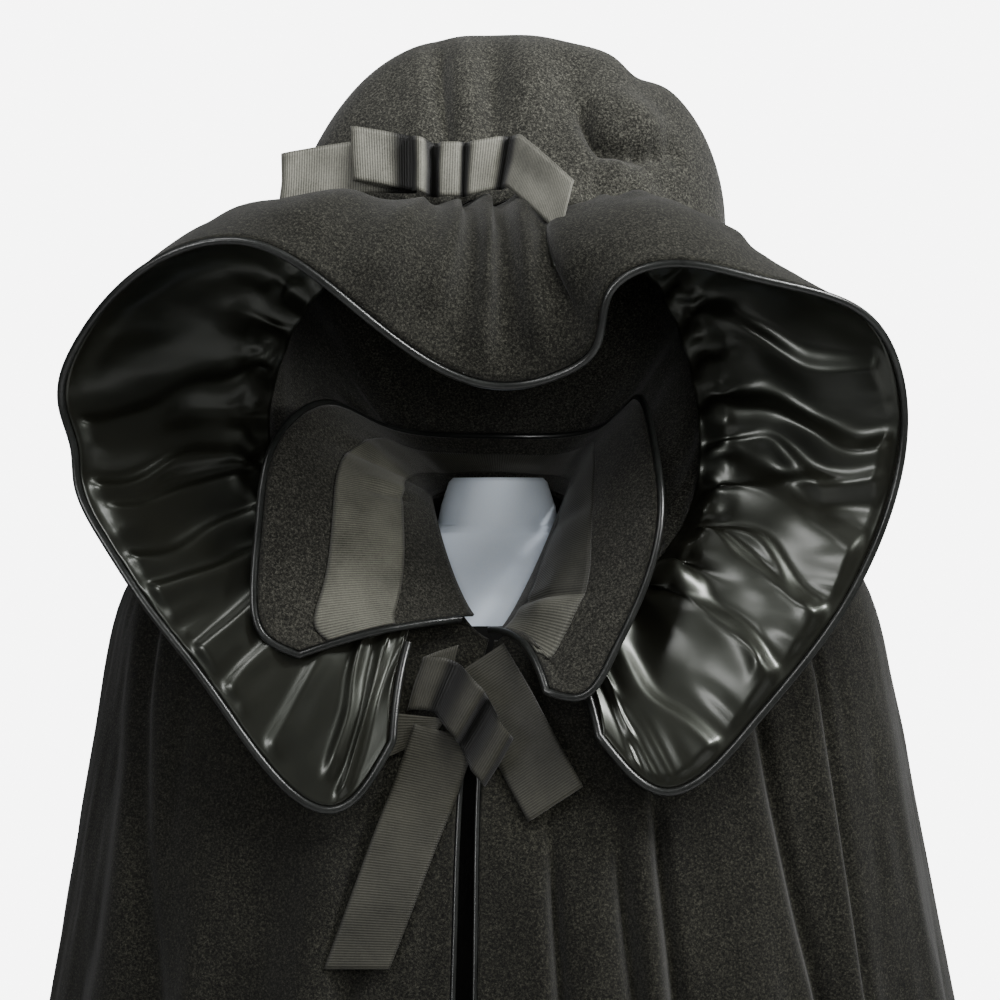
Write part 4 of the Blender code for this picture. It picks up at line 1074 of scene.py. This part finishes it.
# %% [markdown]
# The crown starts behind the brim's first row, with the same gathers. Small uneven puckers run up from the
# face line and down to the neck seam, where a full piece is drawn in.

# %% Crown
CROWN_ACROSS = np.concatenate([np.linspace(0.0, 0.36, 54, endpoint=False), np.linspace(0.36, 1.0, 44)])


def crown_stand(along, across):
    """How far the crown's cloth sinks in at its dents, puckers and gathers."""
    u, v = np.meshgrid(along, across)
    total = np.zeros_like(u)
    for dent in DENTS:
        total += dent.depth * hump(dent, u, v)
    puckers = ripple(u, v, 170, 16, 91) * bell(v / 0.07) * ease(v / 0.012)
    right_gathers = ripple(u, v, 130, 6, 92) * bell((u - 0.586) / 0.024) * bell(v / 0.08) * ease(v / 0.012)
    neck_gathers = ripple(u, v, 64, 3, 93) * ease((v - 0.55) / 0.3) * ease((1.0 - v) / 0.03)
    soft = ripple(u, v, 22, 9, 94) * ease(v / 0.06) * ease((1.0 - v) / 0.08)
    total = total + CROWN_PUCKERS * puckers + RIGHT_GATHERS * right_gathers
    return total + NECK_GATHERS * neck_gathers + SOFT_SWELL * soft


def crown_grid(along, across):
    """Points of the crown from the face line back to the neck seam, its face outwards."""
    plain, _, _ = brim_lines(along)
    gathers = brim[0] - plain
    start = plain - brim_normals[0] * (WOOL_WALL + CROWN_LAP) + np.array([0.0, CROWN_BACK, 0.0])
    crest = spline(CROWN_PLACES, values(CROWN, "cx", "cy", "cz"), along)
    back = spline(CROWN_PLACES, values(CROWN, "bx", "by", "bz"), along)
    angle = np.radians(-CROWN_START - (360.0 - 2.0 * CROWN_START) * along)
    seam, _ = oval(values(NECK, *SECTION_SIZES)[0], angle, NECK_LAYERS)
    seam = seam - np.array([0.0, 0.0, NECK_DROP])
    rows = np.stack([start, crest, back, seam]).reshape(4, -1)
    grid = spline(CROWN_KNOTS, rows, across).reshape(len(across), -1, 3)
    shift = gathers * bell(across / CROWN_GATHER_REACH)[:, None, None]
    return grid + shift - grid_normals(grid) * crown_stand(along, across)[:, :, None]


crown = crown_grid(BRIM_ALONG, CROWN_ACROSS)
hood = lay_cloth("hood_puff", crown[:, ::-1], WOOL_WALL, CROWN_WOOL_PAINTED_LIGHT, "hood_crown")
print("crown area:", round(cloth_area(crown), 3))

# %% [markdown]
# ## The collar
# The collar is a wide flared piece on the neck seam. Its two wings turn out over the chest and its back
# stands inside the hood. The table gives the place on the seam and the outer edge. inner and outer are the
# edges of the ribbon band, as shares of the way across.

# %% Collar table
COLLAR = table("place angle ex ey ez roll inner outer", [
    ("left front", -20.0, -0.128, -0.136, -0.097, 0.020, 0.475, 0.850),
    ("left corner", -25.0, -0.150, -0.136, -0.084, 0.020, 0.390, 0.780),
    ("left wing", -34.0, -0.155, -0.133, -0.062, 0.020, 0.320, 0.710),
    ("left middle", -55.0, -0.153, -0.122, -0.018, 0.018, 0.250, 0.660),
    ("left shoulder", -80.0, -0.148, -0.104, 0.028, 0.014, 0.220, 0.640),
    ("left side", -108.0, -0.120, -0.050, 0.064, 0.006, 0.200, 0.600),
    ("left back", -142.0, -0.074, 0.036, 0.050, 0.003, 0.200, 0.600),
    ("back", -180.0, 0.000, 0.080, 0.045, 0.002, 0.200, 0.600),
    ("right back", -218.0, 0.070, 0.040, 0.050, 0.003, 0.180, 0.580),
    ("right side", -258.0, 0.094, -0.036, 0.069, 0.008, 0.140, 0.520),
    ("right shoulder", -290.0, 0.101, -0.104, 0.030, 0.016, 0.110, 0.500),
    ("right middle", -312.0, 0.102, -0.135, -0.013, 0.022, 0.120, 0.560),
    ("right wing", -334.0, 0.091, -0.150, -0.054, 0.026, 0.160, 0.670),
    ("right low wing", -348.0, 0.069, -0.160, -0.100, 0.028, 0.110, 0.690),
    ("right corner", -358.0, 0.051, -0.165, -0.122, 0.028, 0.060, 0.690),
    ("right front", -364.0, 0.033, -0.162, -0.119, 0.026, 0.045, 0.690),
])
COLLAR_EDGE = values(COLLAR, "ex", "ey", "ez")
COLLAR_KNOTS = chord_knots(COLLAR_EDGE)
COLLAR_DROP = 0.0016
COLLAR_PIPING = 0.0024
RIBBON_WALL = 0.0009
print("collar sections:", len(COLLAR))

# %% [markdown]
# The collar's rows bend with the band, so that one run of them lies exactly along the ribbon's two edges.
# The ribbon is then those same rows, moved out by the gap and its own thickness. Between the left wing and
# its mitre on the right, where it lies inside the hood, it is darkened with painted shade.

# %% Collar and its ribbon
COLLAR_ALONG = np.linspace(0.0, 1.0, 240)
COLLAR_ROWS = (10, 16, 14)
COLLAR_SWELL = 0.0011
BAND_MITRE = 0.890
BAND_SHADE = 0.6
COLLAR_CREASES = table("along across along_size across_size depth", [
    (0.151, 0.36, 0.006, 0.16, 0.0030),
    (0.162, 0.36, 0.008, 0.18, -0.0020),
    (0.205, 0.42, 0.010, 0.22, 0.0030),
    (0.228, 0.55, 0.016, 0.20, -0.0024),
    (0.120, 0.80, 0.050, 0.20, -0.0020),
    (0.800, 0.30, 0.012, 0.22, 0.0022),
    (0.893, 0.40, 0.006, 0.26, 0.0036),
    (0.912, 0.42, 0.014, 0.26, -0.0030),
])


def collar_shares(along):
    """Shares of the way across for each row of the collar, at each place along it."""
    inner, outer = spline(COLLAR_KNOTS, values(COLLAR, "inner", "outer"), along).T
    below, band, above = COLLAR_ROWS
    parts = [np.linspace(0.0, inner, below, endpoint=False)]
    parts.append(np.linspace(inner, outer, band, endpoint=False))
    parts.append(np.linspace(outer, np.ones_like(outer), above))
    return np.concatenate(parts)


def collar_grid(along, across):
    """Points of the collar from the neck seam to the outer edge, its face the side with the ribbon."""
    angle = np.radians(spline(COLLAR_KNOTS, values(COLLAR, "angle"), along)[:, 0])
    seam, _ = oval(values(NECK, *SECTION_SIZES)[0], angle)
    seam = seam - np.array([0.0, 0.0, COLLAR_DROP])
    edge = spline(COLLAR_KNOTS, COLLAR_EDGE, along)
    roll = spline(COLLAR_KNOTS, values(COLLAR, "roll"), along)
    face = unit(np.cross(np.gradient(seam + edge, axis=0), edge - seam))
    middle = (seam + edge) / 2.0 + face * roll
    v = across[:, :, None]
    return (1 - v) ** 2 * seam + 2 * v * (1 - v) * middle + v * v * edge


def collar_stand(along, across):
    """Small creases and an uneven swell over the collar."""
    u = along[None, :] + 0.0 * across
    total = COLLAR_SWELL * ripple(u, across, 24, 5, 51) * np.sin(math.pi * across)
    for crease in COLLAR_CREASES:
        total -= crease.depth * hump(crease, u, across)
    return total * ease(across / 0.1) * ease((1.0 - across) / 0.08)


shares = collar_shares(COLLAR_ALONG)
collar = collar_grid(COLLAR_ALONG, shares)
collar = collar + grid_normals(collar) * collar_stand(COLLAR_ALONG, shares)[:, :, None]
collar_normals = grid_normals(collar)
collar_cloth = lay_cloth("collar_wings", collar, WOOL_WALL, COLLAR_WOOL, "collar")
collar_path = edge_path(collar, collar_normals, COLLAR_PIPING, 0.0, WOOL_WALL)
collar_cord = lay_cord("collar_cord", collar_path[2:-2], COLLAR_PIPING, PIPING, "collar_piping")
band_rows = slice(COLLAR_ROWS[0], COLLAR_ROWS[0] + COLLAR_ROWS[1] + 1)
band_grid = (collar + collar_normals * (SEAM_GAP + RIBBON_WALL))[band_rows]
BAND_WIDTH = float(mean_run(band_grid, 0)[-1])
BAND_RIBBON = ribbon_finish("band ribbon", (0.018, 0.018, 0.014), (0.172, 0.170, 0.138), BAND_WIDTH)
# Painted shade on the band inside the hood, between the left wing and the mitre.
band_shade = BAND_SHADE * ease((COLLAR_ALONG - 0.19) / 0.06)
band_shade *= 1.0 - ease((COLLAR_ALONG - BAND_MITRE) / 0.008)
band_painted_shade = np.tile(band_shade, (len(band_grid), 1))
collar_band = lay_cloth(
    "collar_band", band_grid, RIBBON_WALL, BAND_RIBBON, "collar_ribbon", band_painted_shade
)
print("collar area:", round(cloth_area(collar), 4), "band area:", round(cloth_area(band_grid), 4))

# %% [markdown]
# ## The bows
# Each bow is ribbon folded back and forth on edge. The tables give the ribbon's centre line with its lean,
# the angle of its width from upright. Pressed ribbon runs straight between its folds and turns sharply.
# hollow marks the rows that lie deep in a fold, where the ribbon is darkened with painted shade.

# %% Bow tables
RIBBON_LINE = "x y z lean hollow"
HOOD_RIBBON = 0.036
NECK_RIBBON = 0.042
TAIL_LEFT_RIBBON = 0.032
HOOD_BOW = table(RIBBON_LINE, [
    (-0.092, -0.0720, 0.222, 2.0),
    (-0.118, -0.0690, 0.218, 2.0),
    (-0.142, -0.0705, 0.214, 2.0),
    (-0.147, -0.0755, 0.2135, 2.0),
    (-0.142, -0.0805, 0.214, 2.0),
    (-0.118, -0.0820, 0.218, 2.0),
    (-0.084, -0.0825, 0.223, 2.0),
    (-0.058, -0.0830, 0.222, 0.0, 0.9),
    (-0.053, -0.0850, 0.222, 0.0, 0.9),
    (-0.058, -0.0875, 0.223, 0.0, 0.9),
    (-0.080, -0.0880, 0.226, -2.0),
    (-0.094, -0.0890, 0.229, -3.0),
    (-0.098, -0.0925, 0.2295, -3.0),
    (-0.093, -0.0960, 0.229, -3.0),
    (-0.075, -0.0965, 0.226, -2.0),
    (-0.057, -0.0950, 0.2225, 0.0, 0.9),
    (-0.053, -0.1040, 0.2215, 0.0),
    (-0.049, -0.1040, 0.2205, 0.0),
    (-0.045, -0.0900, 0.219, 0.0, 0.9),
    (-0.040, -0.0890, 0.2185, 0.0, 0.9),
    (-0.038, -0.0980, 0.2185, 2.0),
    (-0.026, -0.0990, 0.2185, 2.0),
    (-0.022, -0.0910, 0.2185, 2.0, 0.9),
    (-0.018, -0.0990, 0.219, 4.0),
    (-0.002, -0.1000, 0.222, 8.0),
    (0.005, -0.0920, 0.223, 10.0, 0.9),
    (0.010, -0.1030, 0.2235, 14.0),
    (0.020, -0.1180, 0.213, 14.0),
    (0.032, -0.1350, 0.200, 14.0),
    (0.044, -0.1490, 0.187, 14.0),
], [0.0])
NECK_LOOPS = table(RIBBON_LINE, [
    (-0.030, -0.1140, -0.112, 14.0),
    (-0.044, -0.1150, -0.116, 15.0),
    (-0.052, -0.1170, -0.119, 16.0),
    (-0.055, -0.1205, -0.120, 17.0),
    (-0.052, -0.1240, -0.119, 18.0),
    (-0.041, -0.1255, -0.119, 20.0),
    (-0.033, -0.1240, -0.122, 24.0, 0.9),
    (-0.0240, -0.1390, -0.1320, 29.0),
    (-0.0180, -0.1405, -0.1375, 31.0),
    (-0.0155, -0.1304, -0.1430, 31.0, 0.9),
    (-0.0120, -0.1306, -0.1500, 31.0, 0.9),
    (-0.0075, -0.1440, -0.1590, 31.0),
    (-0.0015, -0.1455, -0.1650, 31.0),
    (0.0010, -0.1375, -0.1690, 31.0, 0.9),
], [0.0])
NECK_TAIL_LEFT = table(RIBBON_LINE, [
    (-0.0500, -0.1247, -0.140, 96.0),
    (-0.0540, -0.1260, -0.150, 84.0),
    (-0.0590, -0.1274, -0.161, 66.0),
], [0.0])
NECK_TAIL_SHORT = table(RIBBON_LINE, [
    (-0.014, -0.1116, -0.105, 57.0),
    (0.004, -0.1176, -0.135, 57.0),
    (0.020, -0.1306, -0.165, 57.0),
    (0.037, -0.1426, -0.195, 57.0),
], [0.0])
NECK_TAIL_LONG = table(RIBBON_LINE, [
    (-0.034, -0.1273, -0.150, 104.0),
    (-0.046, -0.1333, -0.185, 102.0),
    (-0.060, -0.1433, -0.2195, 98.0),
    (-0.076, -0.1543, -0.262, 94.0),
    (-0.0896, -0.1603, -0.2976, 90.0),
], [0.0])
print("rows of the hood bow:", len(HOOD_BOW), "and of the neck bow:", len(NECK_LOOPS))

# %% [markdown]
# Old ribbon isn't flat: it bows a little across its width and waves along its length. Both are a
# millimetre or so, and the ends stay where the tables put them.

# %% Bows
RIBBON_ROWS = 13
RIBBON_BOW = 0.0010
TURN_ROUNDS = 4
WAVE_LENGTH = 0.03
PAINTED_SHADE_GAIN = 1.8
BOW_RIBBON = ribbon_finish("bow ribbon", (0.052, 0.052, 0.042), (0.430, 0.425, 0.360), HOOD_RIBBON)
TAIL_RIBBON = ribbon_finish("tail ribbon", (0.009, 0.009, 0.0065), (0.066, 0.064, 0.049), NECK_RIBBON)


def ribbon(name, table, width, finish, node, step, seed):
    """A ribbon along a centre line, its width leaning from upright as the table says."""
    middle = values(table, "x", "y", "z")
    knots = chord_knots(middle)
    length = float(np.linalg.norm(np.diff(middle, axis=0), axis=1).sum())
    along = np.linspace(0.0, 1.0, int(length / step))
    rows = np.hstack([middle, values(table, "lean", "hollow")])
    line = np.stack([np.interp(along, knots, column) for column in rows.T], axis=1)
    for _ in range(TURN_ROUNDS):
        line[1:-1] = (line[:-2] + 2.0 * line[1:-1] + line[2:]) / 4.0
    centre = line[:, :3]
    lean = np.radians(line[:, 3:4])
    # Painted shade for the rows that lie deep in a fold.
    hollow = np.tile(ease(PAINTED_SHADE_GAIN * line[:, 4]), (RIBBON_ROWS, 1))
    side = np.hstack([np.sin(lean), 0.0 * lean, np.cos(lean)])
    shares = np.linspace(-0.5, 0.5, RIBBON_ROWS)
    grid = np.stack([centre + side * width * share for share in shares])
    u, v = np.meshgrid(along, shares + 0.5)
    waves = max(3, int(length / WAVE_LENGTH))
    stand = RIBBON_BOW * np.sin(math.pi * v) * ripple(u, v, waves, 2, seed)
    grid = grid + grid_normals(grid) * stand[:, :, None]
    piece = lay_cloth(name, grid, RIBBON_WALL, finish, node, hollow)
    print(name, "ribbon length:", round(length, 3))
    return piece


bow_hood = ribbon("bow_on_hood", HOOD_BOW, HOOD_RIBBON, BOW_RIBBON, "hood_bow", 0.0015, 61)
bow_loops = ribbon("bow_at_neck", NECK_LOOPS, HOOD_RIBBON, TAIL_RIBBON, "neck_bow_loops", 0.0015, 62)
tail_left = ribbon(
    "bow_tail_left", NECK_TAIL_LEFT, TAIL_LEFT_RIBBON, TAIL_RIBBON, "neck_bow_tail_left", 0.001, 65
)
tail_short = ribbon(
    "bow_tail_short", NECK_TAIL_SHORT, NECK_RIBBON, TAIL_RIBBON, "neck_bow_tail_short", 0.003, 63
)
tail_long = ribbon("bow_tail_long", NECK_TAIL_LONG, NECK_RIBBON, TAIL_RIBBON, "neck_bow_tail_long", 0.003, 64)

# %% [markdown]
# ## The dress form and its stand
# The form is plain: a flat-topped neck and sloping shoulders with a pale cover, a dark jersey body, a pole
# and a round base. Only the neck shows in front. Its sections are the table's, with more sides.

# %% Form table
FORM = table("name z half_width front back", [
    ("neck top", 0.0155, 0.0345, 0.038, 0.036),
    ("neck", -0.004, 0.0400, 0.041, 0.040),
    ("neck base", -0.017, 0.0425, 0.043, 0.043),
    ("collarbone", -0.0220, 0.0700, 0.041, 0.045),
    ("shoulder top", -0.0240, 0.1350, 0.040, 0.048),
    ("shoulder", -0.0283, 0.1830, 0.041, 0.050),
    ("shoulder end", -0.0480, 0.2070, 0.050, 0.060),
    ("arm plate top", -0.0850, 0.2160, 0.064, 0.078),
    ("arm plate", -0.1400, 0.2080, 0.084, 0.092),
    ("bust", -0.2250, 0.1820, 0.104, 0.100),
    ("under bust", -0.3000, 0.1550, 0.100, 0.094),
    ("waist", -0.4000, 0.1260, 0.088, 0.082),
    ("hip", -0.5600, 0.1680, 0.104, 0.110),
    ("bottom", -0.6600, 0.1600, 0.098, 0.104),
])
FORM_JOIN = "arm plate top"
FORM_SIDES = 96
FORM_EDGE = 0.006
SMOOTH_ANGLE = math.radians(50.0)
print("form sections:", len(FORM))

# %% Form
def form_ring(row, shrink=0.0):
    """A level section of the form."""
    angles = np.linspace(0.0, 2.0 * math.pi, FORM_SIDES, endpoint=False)
    size = (row.half_width - shrink, row.front - shrink, row.back - shrink, 0.0, 0.0, 0.0, 2.0, 2.0, 1.0)
    ring, _ = oval(size, angles)
    return ring + np.array([0.0, 0.0, row.z + LEVEL])


def skin(name, rings, finish, node):
    """A closed skin through rings of points, top first, with flat ends."""
    sides = len(rings[0])
    faces = [tuple(range(sides))]
    for level in range(len(rings) - 1):
        here = level * sides
        for side in range(sides):
            after = (side + 1) % sides
            faces.append((here + side, here + sides + side, here + sides + after, here + after))
    last = (len(rings) - 1) * sides
    faces.append(tuple(last + side for side in reversed(range(sides))))
    mesh = bpy.data.meshes.new(name)
    mesh.from_pydata(np.concatenate(rings).tolist(), [], faces)
    mesh.materials.append(finish)
    piece = bring_in(name, mesh)
    bpy.ops.object.shade_smooth_by_angle(angle=SMOOTH_ANGLE)
    dress(piece, node)
    return piece


join = [row.name for row in FORM].index(FORM_JOIN)
neck_edge = [FORM[0]._replace(z=FORM[0].z - FORM_EDGE / 2.0)]
upper = [form_ring(FORM[0], FORM_EDGE / 2.0)] + [form_ring(row) for row in neck_edge + FORM[1:join + 1]]
lower_top = FORM[join]._replace(z=FORM[join].z - SEAM_GAP)
lower_edge = FORM[-1]._replace(z=FORM[-1].z + FORM_EDGE)
lower = [form_ring(row) for row in [lower_top] + FORM[join + 1:-1] + [lower_edge]]
lower.append(form_ring(FORM[-1], FORM_EDGE))
form_upper = skin("form_neck", upper, FORM_COVER, "form_shoulders")
skin("form_torso", lower, FORM_JERSEY, "form_body")

# %% [markdown]
# The pole and the base are turned pieces whose CAD shape is right, so they stay and only get the paint.

# %% Stand
for node in ("stand_pole", "stand_base"):
    part = bpy.data.objects[node]
    part.data.materials.clear()
    part.data.materials.append(STAND_PAINT)
print("stand painted")

# %% [markdown]
# ## Cloth sizes
# The fronts and the back are wedges, so their area is smaller than the rectangle they are cut from. The
# gathered pieces are cut longer than the seam they are drawn to.

# %% Sheets
print("cloth areas printed above with each piece")
